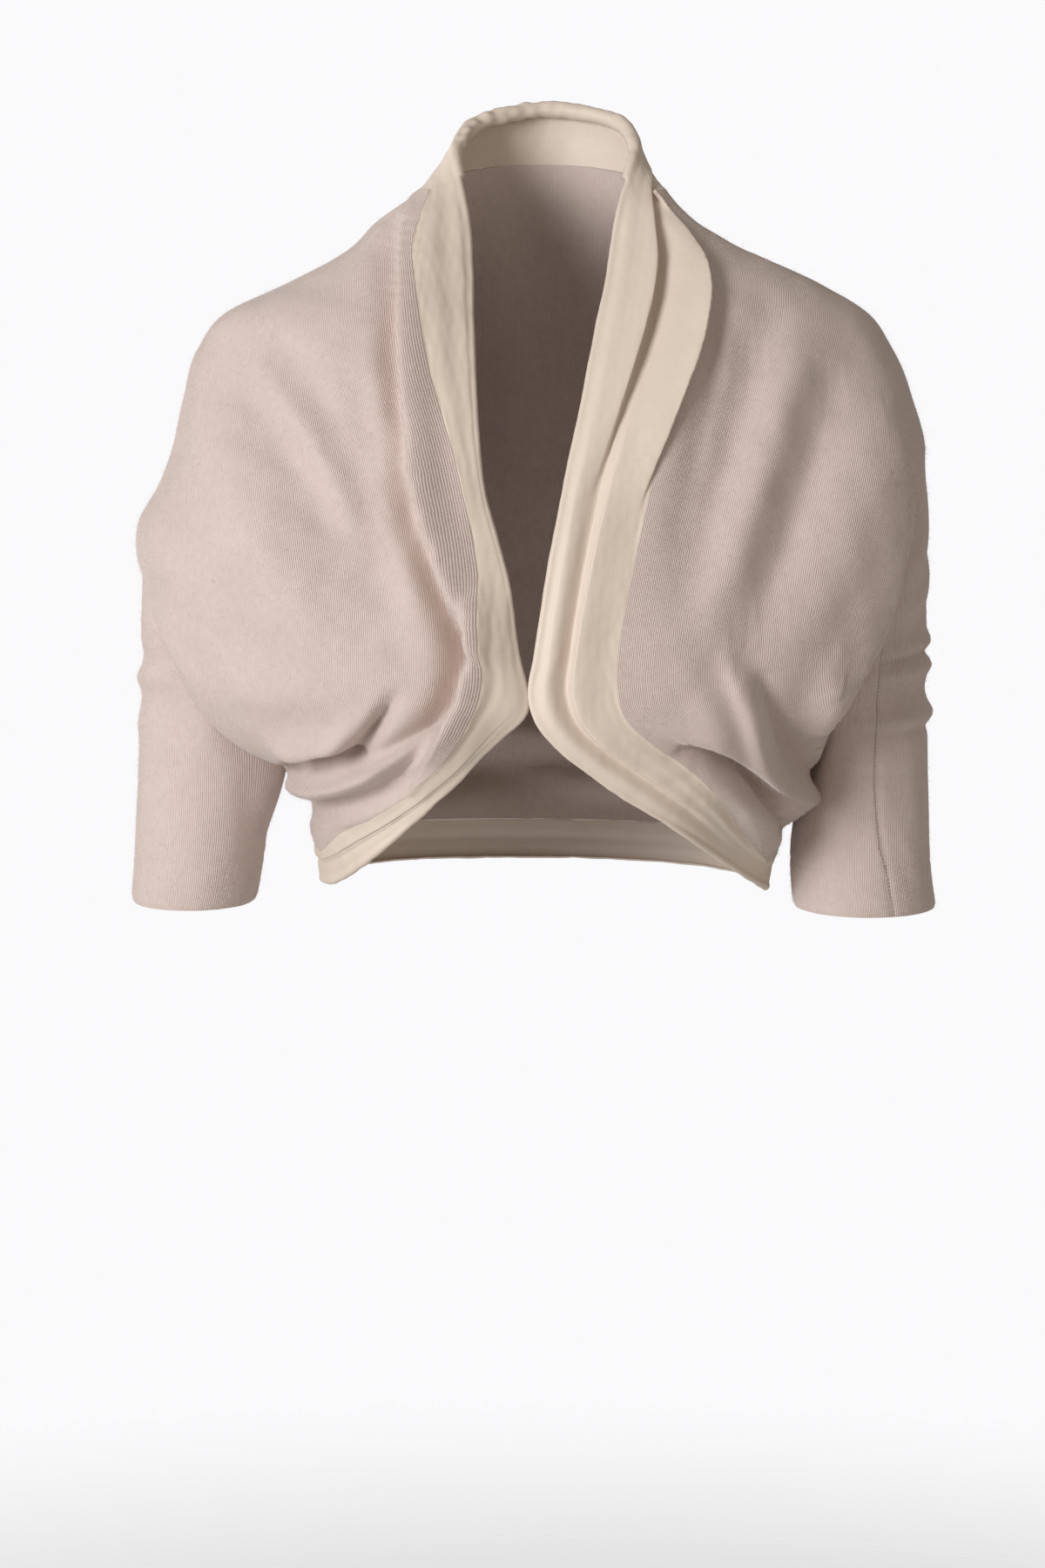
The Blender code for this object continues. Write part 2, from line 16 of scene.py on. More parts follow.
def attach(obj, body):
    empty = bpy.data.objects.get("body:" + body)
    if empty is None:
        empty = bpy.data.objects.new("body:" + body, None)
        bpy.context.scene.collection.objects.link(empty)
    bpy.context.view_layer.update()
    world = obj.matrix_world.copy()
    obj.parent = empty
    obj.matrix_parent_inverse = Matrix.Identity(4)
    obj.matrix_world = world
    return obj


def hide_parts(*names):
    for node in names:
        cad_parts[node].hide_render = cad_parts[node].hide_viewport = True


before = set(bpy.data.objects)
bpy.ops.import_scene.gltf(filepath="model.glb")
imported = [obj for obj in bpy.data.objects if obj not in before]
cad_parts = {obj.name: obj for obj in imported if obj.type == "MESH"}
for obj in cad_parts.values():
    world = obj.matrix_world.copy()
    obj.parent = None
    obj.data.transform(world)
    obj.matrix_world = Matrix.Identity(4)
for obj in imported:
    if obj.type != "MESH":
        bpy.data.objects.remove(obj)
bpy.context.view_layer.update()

MM = 0.001
RIGHT, LEFT = -1, 1
SIDE_NAMES = {RIGHT: "right", LEFT: "left"}
# How many cells of the cloth's grid make one of its solid's.
FINE = 7

KNIT_THICK, SILK_THICK = 1.6, 0.7
SEAM_GAP = 0.12
# Edges sharper than this stay crisp, as a cloth's rim does.
RIM_ANGLE = math.radians(60)

# ---- the body, as in the solids ----

OUTLINE = (
    # height, right half-width, left half-width
    (46, 60, 61),
    (32, 67, 69),
    (14, 91, 86),
    (0, 105, 110),
    (-18, 137, 151),
    (-34, 172, 179),
    (-54, 189, 194),
    (-83, 198, 206),
    (-112, 205, 213),
    (-130, 212, 209),
    (-150, 223, 203),
    (-168, 224, 198),
    (-183, 219, 194),
    (-223, 200, 180),
    (-244, 189, 167),
    (-264, 174, 151),
    (-290, 143, 138),
    (-308, 129, 135),
    (-322, 128, 133),
    (-345, 125, 129),
)
DEPTH = (
    # height, front, back, squareness
    (46, 20, 60, 2.0),
    (32, 26, 63, 2.0),
    (0, 46, 74, 2.0),
    (-40, 69, 88, 2.1),
    (-90, 94, 99, 2.3),
    (-150, 113, 106, 2.5),
    (-210, 125, 108, 2.5),
    (-250, 127, 105, 2.5),
    (-300, 113, 95, 2.4),
    (-345, 97, 84, 2.3),
)
RIGHT_FRONT_EDGE = (
    # height, distance from the middle
    (32, 61),
    (3, 66),
    (-25, 63),
    (-58, 58),
    (-118, 43),
    (-176, 31),
    (-210, 28),
    (-228, 29),
    (-246, 35),
    (-258, 42),
    (-273, 54),
    (-291, 76),
    (-316, 109),
    (-331, 122),
)
LEFT_FRONT_EDGE = (
    # height, distance from the middle
    (32, 62),
    (12, 77),
    (-11, 85),
    (-38, 82),
    (-69, 73),
    (-124, 58),
    (-173, 47),
    (-207, 41),
    (-226, 40),
    (-246, 46),
    (-259, 60),
    (-273, 79),
    (-312, 107),
    (-336, 124),
)
RIGHT_FREE_EDGE = (
    # seam height, x, y, z
    (32, -46, -7, 44),
    (3, -39, -26, 12),
    (-25, -38, -48, -20),
    (-58, -37, -69, -50),
    (-118, -32, -101, -120),
    (-176, -17, -118, -178),
    (-210, -12, -122, -214),
    (-228, -8, -123, -239),
    (-246, -21, -122, -254),
    (-258, -31, -120, -264),
    (-273, -44, -116, -279),
    (-291, -64, -107, -298),
    (-316, -98, -76, -331),
    (-331, -116, -36, -350),
)
LEFT_FREE_EDGE = (
    # seam height, x, y, z
    (32, 48, -7, 45),
    (12, 42, -20, 18),
    (-11, 38, -40, -9),
    (-38, 31, -60, -40),
    (-69, 25, -79, -70),
    (-124, 13, -103, -124),
    (-173, 4, -117, -173),
    (-207, -2, -123, -211),
    (-226, -5, -124, -234),
    (-246, 5, -124, -255),
    (-259, 20, -122, -269),
    (-273, 42, -118, -285),
    (-312, 92, -90, -321),
    (-336, 122, -39, -350),
)
COLLAR_TOP = (
    # share of the way round, x, y, z
    (0.0, -46, -7, 44),
    (0.16, -50, 14, 55),
    (0.33, -37, 42, 69),
    (0.5, 4, 58, 76),
    (0.67, 45, 42, 69),
    (0.84, 56, 14, 55),
    (1.0, 48, -7, 45),
)
NAPE_LIFT = 13
COLLAR_BULGE = 2.5
EDGE_RADIUS, NAPE_RADIUS = 2.2, 4.6
EDGE_TURN, NAPE_TURN = math.radians(150), math.radians(270)
HEM_BAND_DROP = 21
ARMHOLES = {
    # side: top, bottom, half-width in degrees
    RIGHT: (-176, -290, 15),
    LEFT: (-108, -264, 15),
}
LIP_HEIGHT, LIP_AWAY = 8, 9
LIP_OVER, LIP_OVER_AWAY = 4, 6
LIP_FADE_UNDER, LIP_FADE_OVER = 45, 35
TURN_TO_MM = 150
PANEL_ROWS = {RIGHT: (6, 8, 8, 6), LEFT: (6, 4, 11, 7)}
NECK_HEIGHT, SHOULDER_HEIGHT = 32, -45
HEM_HEIGHT = {RIGHT: -331, LEFT: -336}
FRONT_COLUMNS, BACK_COLUMNS = 16, 22
SIDE_CROWDING = 1.4
FRONT_CROWDING = 0.9
SWING_FADE = 3
PLAIN_CELLS = 3
SLEEVES = {
    RIGHT: (
        # height, x, y, radius across, radius front to back
        (-176, -187, 3, 38, 29),
        (-230, -187, 3, 37, 31),
        (-290, -189, 2, 38, 36),
        (-345, -193, -3, 36.5, 37),
        (-368, -196, -5, 35, 36),
    ),
    LEFT: (
        # height, x, y, radius across, radius front to back
        (-108, 180, 3, 40, 29),
        (-200, 179, 3, 38, 30),
        (-264, 183, 3, 34, 34),
        (-310, 181, 1, 37.5, 38),
        (-345, 180.5, -3, 39.5, 40),
        (-371, 183, -5, 40.5, 41),
    ),
}
CUFF_HEIGHT = {RIGHT: -364, LEFT: -367}
SLEEVE_ROWS = {RIGHT: 14, LEFT: 17}
SLEEVE_BLEND = 0.55
# Turns an angle round a sleeve into millimetres.
SLEEVE_RADIUS = 38

# ---- folds ----

# Each fold is a bend from start through middle to end. Walking along it, its left and right
# sides have their own half-widths, and a lean above zero tips its crest to the left.
FRONT_FOLDS = (
    # start x, z, middle x, z, end x, z, left half-width, right half-width, lift, lean
    # the roll beside the right band, and the crease that it hides
    (-72, 16, -71, -75, -60, -136, 13, 3, 9.5, -6),
    (-64, -112, -50, -166, -33, -206, 11, 2.4, 13.0, -8),
    (-34, -184, -28, -232, -66, -281, 10, 2.8, 11.0, -6),
    (-80, 14, -79, -75, -69, -140, 2.2, 10, -10.0, 0),
    (-72, -118, -58, -171, -38, -208, 2.0, 9, -14.0, 0),
    (-40, -188, -35, -234, -76, -278, 2.2, 10, -14.0, 0),
    (-58, -10, -54, -80, -46, -140, 6, 6, -2.0, 0),
    (-98, -30, -102, -130, -66, -226, 9, 12, -3.0, 0),
    # the slanting drape of the right front
    (-150, -48, -100, -60, -78, -150, 12, 17, -9.0, 0),
    (-166, -66, -130, -104, -88, -180, 13, 18, -8.0, 0),
    (-132, -50, -104, -66, -86, -130, 9, 9, 5.0, 0),
    (-152, -66, -122, -96, -96, -156, 8, 10, 4.0, 0),
    (-176, -100, -150, -170, -104, -214, 17, 17, 5.0, 0),
    (-196, -120, -180, -190, -140, -240, 12, 16, -3.5, 0),
    # the pouch of the right front over its hem
    (-152, -297, -100, -292, -42, -244, 3, 8, 10.0, 4),
    (-144, -288, -104, -281, -60, -249, 8, 2.4, -9.0, 0),
    (-140, -282, -120, -268, -100, -272, 2.6, 5, -14.0, 0),
    (-80, -234, -92, -254, -106, -271, 6, 3.4, -14.0, 0),
    (-104, -252, -110, -264, -122, -268, 4.5, 4.5, 6.0, 0),
    (-146, -266, -132, -274, -118, -262, 6, 3, 4.0, -2),
    (-138, -308, -100, -298, -54, -268, 5, 5, -6.0, 0),
    (-134, -321, -102, -310, -64, -283, 5, 8, 4.0, 0),
    (-168, -246, -136, -262, -96, -236, 10, 12, -3.0, 0),
    # the long folds of the left front
    (122, -36, 102, -100, 78, -176, 14, 16, -9.0, 0),
    (162, -58, 144, -120, 110, -210, 14, 17, -9.0, 0),
    (140, -50, 124, -110, 94, -190, 12, 12, 3.0, 0),
    (190, -76, 174, -140, 138, -220, 15, 15, 6.0, 0),
    (98, -22, 92, -70, 74, -140, 7, 9, -4.0, 0),
    (194, -112, 186, -196, 146, -250, 3, 14, 8.0, 3),
    (204, -122, 196, -204, 156, -258, 6, 2.5, -6.0, 0),
    (214, -150, 204, -176, 186, -196, 6, 9, 5.0, 1),
    (212, -176, 206, -190, 190, -206, 5, 7, 3.5, 0),
    (186, -202, 162, -226, 146, -246, 6, 6, 4.0, 0),
    # the pouch of the left front over its hem
    (100, -214, 114, -252, 137, -308, 8, 6, 9.0, -2),
    (82, -226, 92, -244, 100, -256, 9, 9, 3.0, 0),
    (76, -262, 118, -262, 133, -328, 2.4, 4.5, -9.0, 0),
    (78, -255, 120, -252, 141, -314, 11, 3, 8.0, -6),
    (118, -226, 134, -262, 143, -298, 4.5, 4.5, -7.0, 0),
    (131, -276, 138, -298, 132, -318, 11, 10, 12.0, 0),
    (152, -222, 144, -268, 139, -312, 13, 7, 12.0, 0),
    (80, -274, 112, -292, 128, -330, 9, 10, 11.0, 0),
)
BACK_FOLDS = (
    # start x, z, middle x, z, end x, z, left half-width, right half-width, lift, lean
    (-150, -60, -120, -150, -60, -236, 15, 13, -10.0, 0),
    (-172, -90, -150, -180, -100, -266, 12, 15, 8.0, 2),
    (-120, -40, -92, -130, -40, -200, 10, 13, 5.5, -2),
    (-190, -130, -176, -200, -132, -262, 9, 12, -5.0, 0),
    (146, -62, 118, -150, 66, -240, 13, 15, -10.0, 0),
    (176, -96, 150, -186, 96, -272, 15, 12, 8.0, -2),
    (116, -44, 90, -120, 44, -196, 13, 10, 5.5, 2),
    (196, -140, 178, -206, 130, -268, 12, 9, -5.0, 0),
    (-116, -316, -40, -296, 20, -308, 9, 11, 8.5, 0),
    (-90, -286, -30, -276, 40, -292, 8, 9, -8.0, 0),
    (-20, -302, 50, -322, 116, -304, 9, 9, -7.0, 0),
    (30, -286, 70, -276, 118, -290, 7, 9, 6.0, 0),
    (-34, 10, -8, -70, 12, -160, 17, 20, -7.0, 0),
    (-60, 6, -46, -60, -30, -130, 10, 12, 4.0, 0),
    (48, 8, 40, -60, 34, -140, 12, 10, 4.0, 0),
)
FOLD_SAMPLES = 33
# The folds fade out towards the sides, over this much of the way round from front to side.
FOLD_SIDE_FADE = 0.16
FOLD_BLEND = 2
# The small unevenness of soft cloth that hangs: its height, length and stretch downwards.
SWELLS = ((0.7, 62, 2.2), (0.28, 23, 1))
SLEEVE_SWELL = 0.8

# Rings where the sleeve crumples on the upper arm, strongest on the outer side. The slant
# is how far a ring's front lies below its outer side.
SLEEVE_RINGS = {
    RIGHT: (
        # height, half-height, lift, slant
        (-204, 6, 4.0, 4),
        (-213, 4, 2.0, 8),
        (-238, 6, 5.0, -4),
        (-224, 4, -1.5, 0),
        (-262, 9, 1.5, 6),
    ),
    LEFT: (
        # height, half-height, lift, slant
        (-136, 15, 9.0, 50),
        (-178, 8, 4.0, 25),
        (-216, 4.0, 3.0, 3),
        (-223, 2.5, -2.0, 3),
        (-230, 4.0, 3.0, 3),
        (-257, 4.5, 3.2, 2),
        (-244, 6, -1.5, 0),
        (-265, 3, -1.2, 2),
    ),
}
# The rings are highest a little to the front of the outer side.
RING_TURN, RING_SPREAD = 0.4, 0.6
# Where each sleeve's seam runs: 0 is the outer side, 90 the front and 180 the inner side.
SLEEVE_SEAMS = {
    # height, degrees round the sleeve
    RIGHT: ((-400, 188), (-300, 186), (-170, 184), (-100, 184)),
    LEFT: ((-367, 70), (-339, 72), (-317, 79), (-260, 86), (-200, 86), (-100, 88)),
}
SEAM_GROOVE, SEAM_GROOVE_WIDTH = 0.8, 1.6
CUFF_HEM, CUFF_HEM_THICKER = 26, 1.25
CUFF_ROLL, CUFF_ROLL_REACH, CUFF_ROLL_THINNER = 1.1, 1.6, 0.55
HEM_LINE, HEM_LINE_WIDTH = 0.35, 1.2

# The pleats of the silk. A station runs from 0 at the right hem to 1 at the neck, 2 at the
# left of the neck, 3 at the left hem and 4 round the back; a share runs from seam to edge.
PLEATS = (
    # start station, share, middle station, share, end station, share,
    # half-width to the seam, half-width to the edge, lift, lean
    (0.40, 0.40, 0.75, 0.34, 1.40, 0.28, 0.22, 0.22, 2.0, 0),
    (0.24, 0.80, 0.75, 0.84, 1.35, 0.80, 0.18, 0.10, 1.2, 0),
    (-0.34, 0.30, 0.06, 0.34, 0.40, 0.80, 0.22, 0.035, 3.0, 2),
    (-0.34, 0.48, 0.06, 0.52, 0.36, 0.95, 0.03, 0.12, -1.8, 0),
    (0.22, 0.14, 0.38, 0.26, 0.52, 0.60, 0.14, 0.14, -1.6, 0),
    (1.98, 0.10, 2.18, 0.09, 2.44, 0.12, 0.08, 0.16, 6.5, -13),
    (1.82, 0.50, 2.12, 0.54, 2.42, 0.70, 0.035, 0.22, 5.5, -5),
    (1.82, 0.44, 2.12, 0.47, 2.42, 0.64, 0.14, 0.035, -4.0, 0),
    (1.80, 0.82, 2.20, 0.86, 2.60, 0.88, 0.12, 0.10, 1.5, 0),
    (2.26, 0.40, 2.56, 0.45, 2.92, 0.38, 0.22, 0.06, 4.0, 3),
    (2.26, 0.58, 2.56, 0.60, 2.92, 0.52, 0.035, 0.10, -3.5, 0),
    (2.34, 0.84, 2.62, 0.82, 2.94, 0.76, 0.12, 0.12, 2.5, 0),
    (2.62, 0.18, 2.86, 0.20, 3.30, 0.26, 0.10, 0.08, 1.8, 0),
    (3.10, 0.60, 3.50, 0.52, 3.90, 0.60, 0.16, 0.16, 2.0, 0),
)
# Where the silk is narrower than this, its pleats are lower too.
PLEATED_WIDTH = 45
STAND_ROWS, EDGE_ROWS = 8, 4
BAND_FINE_ACROSS = 7
HEM_STEP = 4
# The corners of the loop are rounded, by this much of a station and this many places.
CORNER_REACH, CORNER_BLUR, CORNER_FADE = 0.15, 9, 0.15
# Shares of the silk's width: where pleats fade at seam and edge, and where it lies free.
PLEAT_SEAM_FADE, PLEAT_EDGE_FADE, FREE_SHARE = 0.10, 0.14, 0.3
CRINKLES = ((0.22, 18), (0.08, 6))
SEAM_GATHER, GATHER_LENGTH, GATHER_SHARE, GATHER_FADE = 0.22, 6, 0.04, 0.08
SEAM_CALM = 0.03
# The bunched silk on the right of the collar's roll, and a little of it all round the neck.
BUNCH, BUNCH_LENGTH, BUNCH_STATION, BUNCH_REACH = 0.8, 8, 1.32, 0.14
NECK_BUNCH, BUNCH_ROWS = 0.3, 8

# ---- knit and thread ----

WALE, COURSE = 2.1, 1.6
STITCH_STEP, STITCH_SIZE, STITCH_LIFT = 2.0, (0.85, 0.22, 0.22), 0.2
NAP_LENGTH, NAP_THICK, NAP_TANGLE, NAP_LEAST_RISE = 2.0, 0.045, 0.75, 0.1
# How far apart the fibres are copied, before each goes to its own place.
NAP_APART = 4

# ---- room, lamps and camera, in metres ----

FLOOR_RADIUS, FLOOR_HEIGHT, FLOOR_FADE = 2.2, -1.32, (1.4, 2.5)
ROOM_GLOW, ROOM_POWER, ROOM_SEEN = (0.90, 0.84, 0.765, 1), 0.34, (0.96, 0.95, 0.965, 1)
LAMP_AIM = (0, 0, -0.16)
LAMPS = (
    # name, place, width, power, colour
    ("key", (-1.75, -1.9, 0.4), 1.1, 62, (0.98, 0.99, 1.0)),
    ("fill", (1.4, -2.2, -0.1), 1.6, 5, (1.0, 0.88, 0.74)),
    ("top", (0, 0.4, 1.9), 1.8, 1, (1, 1, 1)),
    ("rear", (-1.9, 1.7, 0.7), 1.2, 17, (1, 1, 1)),
)
CAMERA_PLACE, CAMERA_AIM = (-0.010, -2.300, 0.070), (-0.010, 0, -0.299)
LENS, SENSOR = 95.08, 36


def smooth(table, column, at):
    """The column's values on a smooth curve through the table's rows."""
    rows = np.array(sorted(table), float)
    known, values = rows[:, 0], rows[:, column]
    slope = np.gradient(values, known)
    at = np.clip(at, known[0], known[-1])
    before = np.clip(np.searchsorted(known, at) - 1, 0, len(known) - 2)
    span = known[before + 1] - known[before]
    share = (at - known[before]) / span
    return (
        (1 + 2 * share) * (1 - share) ** 2 * values[before]
        + share * (1 - share) ** 2 * span * slope[before]
        + share**2 * (3 - 2 * share) * values[before + 1]
        - share**2 * (1 - share) * span * slope[before + 1]
    )


def ease(share):
    share = np.clip(share, 0, 1)
    return share * share * (3 - 2 * share)


def unit(vectors):
    return vectors / np.maximum(np.linalg.norm(vectors, axis=-1, keepdims=True), 1e-9)


def power(value, exponent):
    return np.sign(value) * np.abs(value) ** exponent


def ripple(points, wavelength, seed, stretch=(1, 1, 1)):
    """A gentle uneven swell between about -1 and 1, the same on every run."""
    draw = np.random.default_rng(seed)
    total = np.zeros(points.shape[:-1])
    for _ in range(6):
        heading = unit(draw.normal(size=3)) * draw.uniform(0.7, 1.4) / wavelength
        phase = draw.uniform(0, 2 * math.pi)
        total += np.sin(2 * math.pi * (points / stretch) @ heading + phase)
    return total / 3


def plain_body(height, turn):
    """The body without folds. A turn of 0 is the front, -90 degrees the right side and 180
    the back."""
    across, forward = np.sin(turn), np.cos(turn)
    width = np.where(across < 0, smooth(OUTLINE, 1, height), smooth(OUTLINE, 2, height))
    reach = np.where(forward > 0, smooth(DEPTH, 1, height), smooth(DEPTH, 2, height))
    exponent = 2 / smooth(DEPTH, 3, height)
    return np.stack(
        [width * power(across, exponent), -reach * power(forward, exponent), height],
        axis=-1,
    )


def outward(height, turn):
    """The plain body's outward directions."""
    up = plain_body(height + 2, turn) - plain_body(height - 2, turn)
    step = math.radians(2)
    past = plain_body(height, turn + step) - plain_body(height, turn - step)
    direction = unit(np.cross(past, up))
    facing = (direction[..., :2] * plain_body(height, turn)[..., :2]).sum(-1, keepdims=True)
    return direction * np.where(facing < 0, -1, 1)


def fold_shape(x, z, folds):
    """How far the folds lift the cloth, and tip it in x and z, as seen from front or back."""
    lift, tip_x, tip_z = (np.zeros_like(x) for _ in range(3))
    share = np.linspace(0, 1, FOLD_SAMPLES)
    for start_x, start_z, middle_x, middle_z, end_x, end_z, left, right, height, lean in folds:
        parts = (1 - share) ** 2, 2 * share * (1 - share), share**2
        line_x = parts[0] * start_x + parts[1] * middle_x + parts[2] * end_x
        line_z = parts[0] * start_z + parts[1] * middle_z + parts[2] * end_z
        run_x, run_z = np.gradient(line_x), np.gradient(line_z)
        length = np.hypot(run_x, run_z)
        apart_x, apart_z = x[..., None] - line_x, z[..., None] - line_z
        away = apart_x**2 + apart_z**2
        near = away.argmin(-1)
        pick = near[..., None]
        beside = (
            run_x[near] * np.take_along_axis(apart_z, pick, -1)[..., 0]
            - run_z[near] * np.take_along_axis(apart_x, pick, -1)[..., 0]
        ) / length[near]
        blend = 0.5 + 0.5 * np.tanh(beside / FOLD_BLEND)
        half_width = right + (left - right) * blend
        fade = np.sin(math.pi * (0.08 + 0.84 * share[near])) ** 0.8
        profile = fade * np.exp(-away.min(-1) / half_width**2)
        lift += height * profile
        tip_x -= lean * profile * run_z[near] / length[near]
        tip_z += lean * profile * run_x[near] / length[near]
    return lift, tip_x, tip_z


def armhole(side, share, inset=0.0):
    """Heights and swings of one armhole's half, from its top (0) to its foot (1)."""
    top, foot, half_width = ARMHOLES[side]
    around = math.pi * share
    height = (top + foot) / 2 + ((top - foot) / 2 - inset) * np.cos(around)
    return height, (math.radians(half_width) - inset / TURN_TO_MM) * np.sin(around)


def armhole_lip(height, turn):
    """Each place moved towards the nearer armhole, and how far the cloth stands out there."""
    side = np.where(np.sin(turn) < 0, RIGHT, LEFT)
    top, foot, half_width = (
        np.where(side == RIGHT, ARMHOLES[RIGHT][part], ARMHOLES[LEFT][part]) for part in range(3)
    )
    across = (math.pi / 2 - np.arccos(np.cos(turn))) * TURN_TO_MM
    up = height - (top + foot) / 2
    stretch = np.hypot(across / (np.radians(half_width) * TURN_TO_MM), up / ((top - foot) / 2))
    reach = np.maximum(np.hypot(across, up), 1)
    away = np.maximum(reach * (1 - 1 / np.maximum(stretch, 0.5)), 0)
    fade = ease((height - foot) / LIP_FADE_UNDER) * ease((top - height) / LIP_FADE_OVER)
    over = LIP_OVER * fade * away / LIP_OVER_AWAY * np.exp(1 - away / LIP_OVER_AWAY)
    lift = LIP_HEIGHT * fade * away / LIP_AWAY * np.exp(1 - away / LIP_AWAY)
    moved_turn = turn + side * across / reach * over / TURN_TO_MM
    return height - up / reach * over, moved_turn, lift


def body(height, turn):
    """The body's outer surface with its folds, and the plain body's outward directions."""
    height, turn, lip = armhole_lip(height, turn)
    points, out = plain_body(height, turn), outward(height, turn)
    facing = np.cos(turn)
    side_fade = ease(np.abs(facing) / FOLD_SIDE_FADE)
    front = fold_shape(points[..., 0], points[..., 2], FRONT_FOLDS)
    back = fold_shape(points[..., 0], points[..., 2], BACK_FOLDS)
    lift, tip_x, tip_z = (np.where(facing > 0, f, b) * side_fade for f, b in zip(front, back))
    points = points + out * (lift + lip)[..., None]
    points[..., 0] += tip_x
    points[..., 2] += tip_z
    return points, out


def panel_sides(side):
    """Each row's height at the side seam, and how far the armhole swings it from the side."""
    shoulder, upper, hole, lower = (rows * FINE for rows in PANEL_ROWS[side])
    top, foot, _ = ARMHOLES[side]
    hole_heights, hole_swings = armhole(side, np.linspace(0, 1, hole + 1))
    heights = np.concatenate(
        [
            np.linspace(NECK_HEIGHT, SHOULDER_HEIGHT, shoulder + 1)[:-1],
            np.linspace(SHOULDER_HEIGHT, top, upper + 1)[:-1],
            hole_heights[:-1],
            np.linspace(foot, HEM_HEIGHT[side], lower + 1),
        ]
    )
    swings = np.zeros_like(heights)
    swings[shoulder + upper : shoulder + upper + hole + 1] = hole_swings
    return heights, swings


def front_edge_turn(side, height):
    """The turn at which the cashmere ends, from its distance to the middle."""
    table = RIGHT_FRONT_EDGE if side == RIGHT else LEFT_FRONT_EDGE
    width = smooth(OUTLINE, 1 if side == RIGHT else 2, height)
    share = np.clip(smooth(table, 1, height) / width, 0, 0.99)
    return side * np.arcsin(share ** (smooth(DEPTH, 3, height) / 2))


def front_grid(side):
    """Heights and turns of a front's rows, each from the side to the front edge."""
    heights, swings = panel_sides(side)
    side_turn = side * math.pi / 2
    edge_turn = front_edge_turn(side, heights)
    start = np.arange(len(heights)) / (PANEL_ROWS[side][0] * FINE)
    crowding = 1 + (FRONT_CROWDING - 1) * ease(start)
    share = np.linspace(0, 1, FRONT_COLUMNS * FINE + 1) ** crowding[:, None]
    turn = side_turn + (edge_turn - side_turn)[:, None] * share
    turn = turn - side * swings[:, None] * (1 - share) ** SWING_FADE
    return np.broadcast_to(heights[:, None], turn.shape), turn


def back_grid():
    """Heights and turns of the back's rows, each from the right side to the left."""
    right_heights, right_swings = panel_sides(RIGHT)
    left_heights, left_swings = panel_sides(LEFT)
    even = np.linspace(-1, 1, BACK_COLUMNS * FINE + 1)
    share = 0.5 + 0.5 * np.sign(even) * (1 - (1 - np.abs(even)) ** SIDE_CROWDING)
    turn = -math.pi * (0.5 + share) - right_swings[:, None] * (1 - share) ** SWING_FADE
    turn = turn + left_swings[:, None] * share**SWING_FADE
    height = right_heights[:, None] * (1 - share) + left_heights[:, None] * share
    below_neck = (NECK_HEIGHT - right_heights) / (NECK_HEIGHT - SHOULDER_HEIGHT)
    lift = NAPE_LIFT * (1 - ease(below_neck))
    return height + lift[:, None] * np.abs(np.cos(turn)), turn


def surface_directions(points, guide, closed=False):
    """The outward directions of a grid of points, on the side that the guide is on."""
    if closed:
        ring = np.concatenate([points[:, -2:-1], points, points[:, 1:2]], axis=1)
        past = ring[:, 2:] - ring[:, :-2]
    else:
        past = np.gradient(points, axis=1)
    directions = unit(np.cross(past, np.gradient(points, axis=0)))
    return directions * np.sign((directions * guide).sum())


def seam_directions(points, out, start_swings, end_swings):
    """A panel's directions, which turn to the plain body's at every seam but an armhole's."""
    rows, columns = (np.arange(count) for count in points.shape[:2])
    plain = PLAIN_CELLS * FINE / 2
    near_start = columns[None, :] + np.where(start_swings > 0.001, plain, 0)[:, None]
    near_end = columns[::-1][None, :] + np.where(end_swings > 0.001, plain, 0)[:, None]
    near_rows = np.minimum(rows, rows[::-1])[:, None]
    nearest = np.minimum(np.minimum(near_start, near_end), near_rows)
    own = ease(nearest / plain)[..., None]
    return unit(surface_directions(points, out) * own + out * (1 - own))


def trim(points):
    """Draws the four sides of a grid of points back from their seams by half the gap."""
    points = points.copy()
    for edge, inside in (
        (points[0], points[1]),
        (points[-1], points[-2]),
        (points[:, 0], points[:, 1]),
        (points[:, -1], points[:, -2]),
    ):
        run = unit(np.gradient(edge, axis=0))
        back = inside - edge
        edge += unit(back - run * (back * run).sum(-1, keepdims=True)) * SEAM_GAP / 2
    return points


def run_lengths(points, axis):
    """How far each point lies along its row or column of the grid."""
    steps = np.linalg.norm(np.diff(points, axis=axis), axis=-1)
    total = np.cumsum(steps, axis=axis)
    return np.insert(total, 0, 0, axis=axis)


def link(name, shape, finish, replaced=()):
    """Makes a piece of the mesh, which rides on the cardigan."""
    mesh = bpy.data.meshes.new(name)
    for face in shape.faces:
        face.smooth = True
    shape.to_mesh(mesh)
    shape.free()
    mesh.materials.append(finish)
    piece = bpy.data.objects.new(name, mesh)
    bpy.context.scene.collection.objects.link(piece)
    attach(piece, "root")
    if replaced:
        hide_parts(*replaced)
    return piece


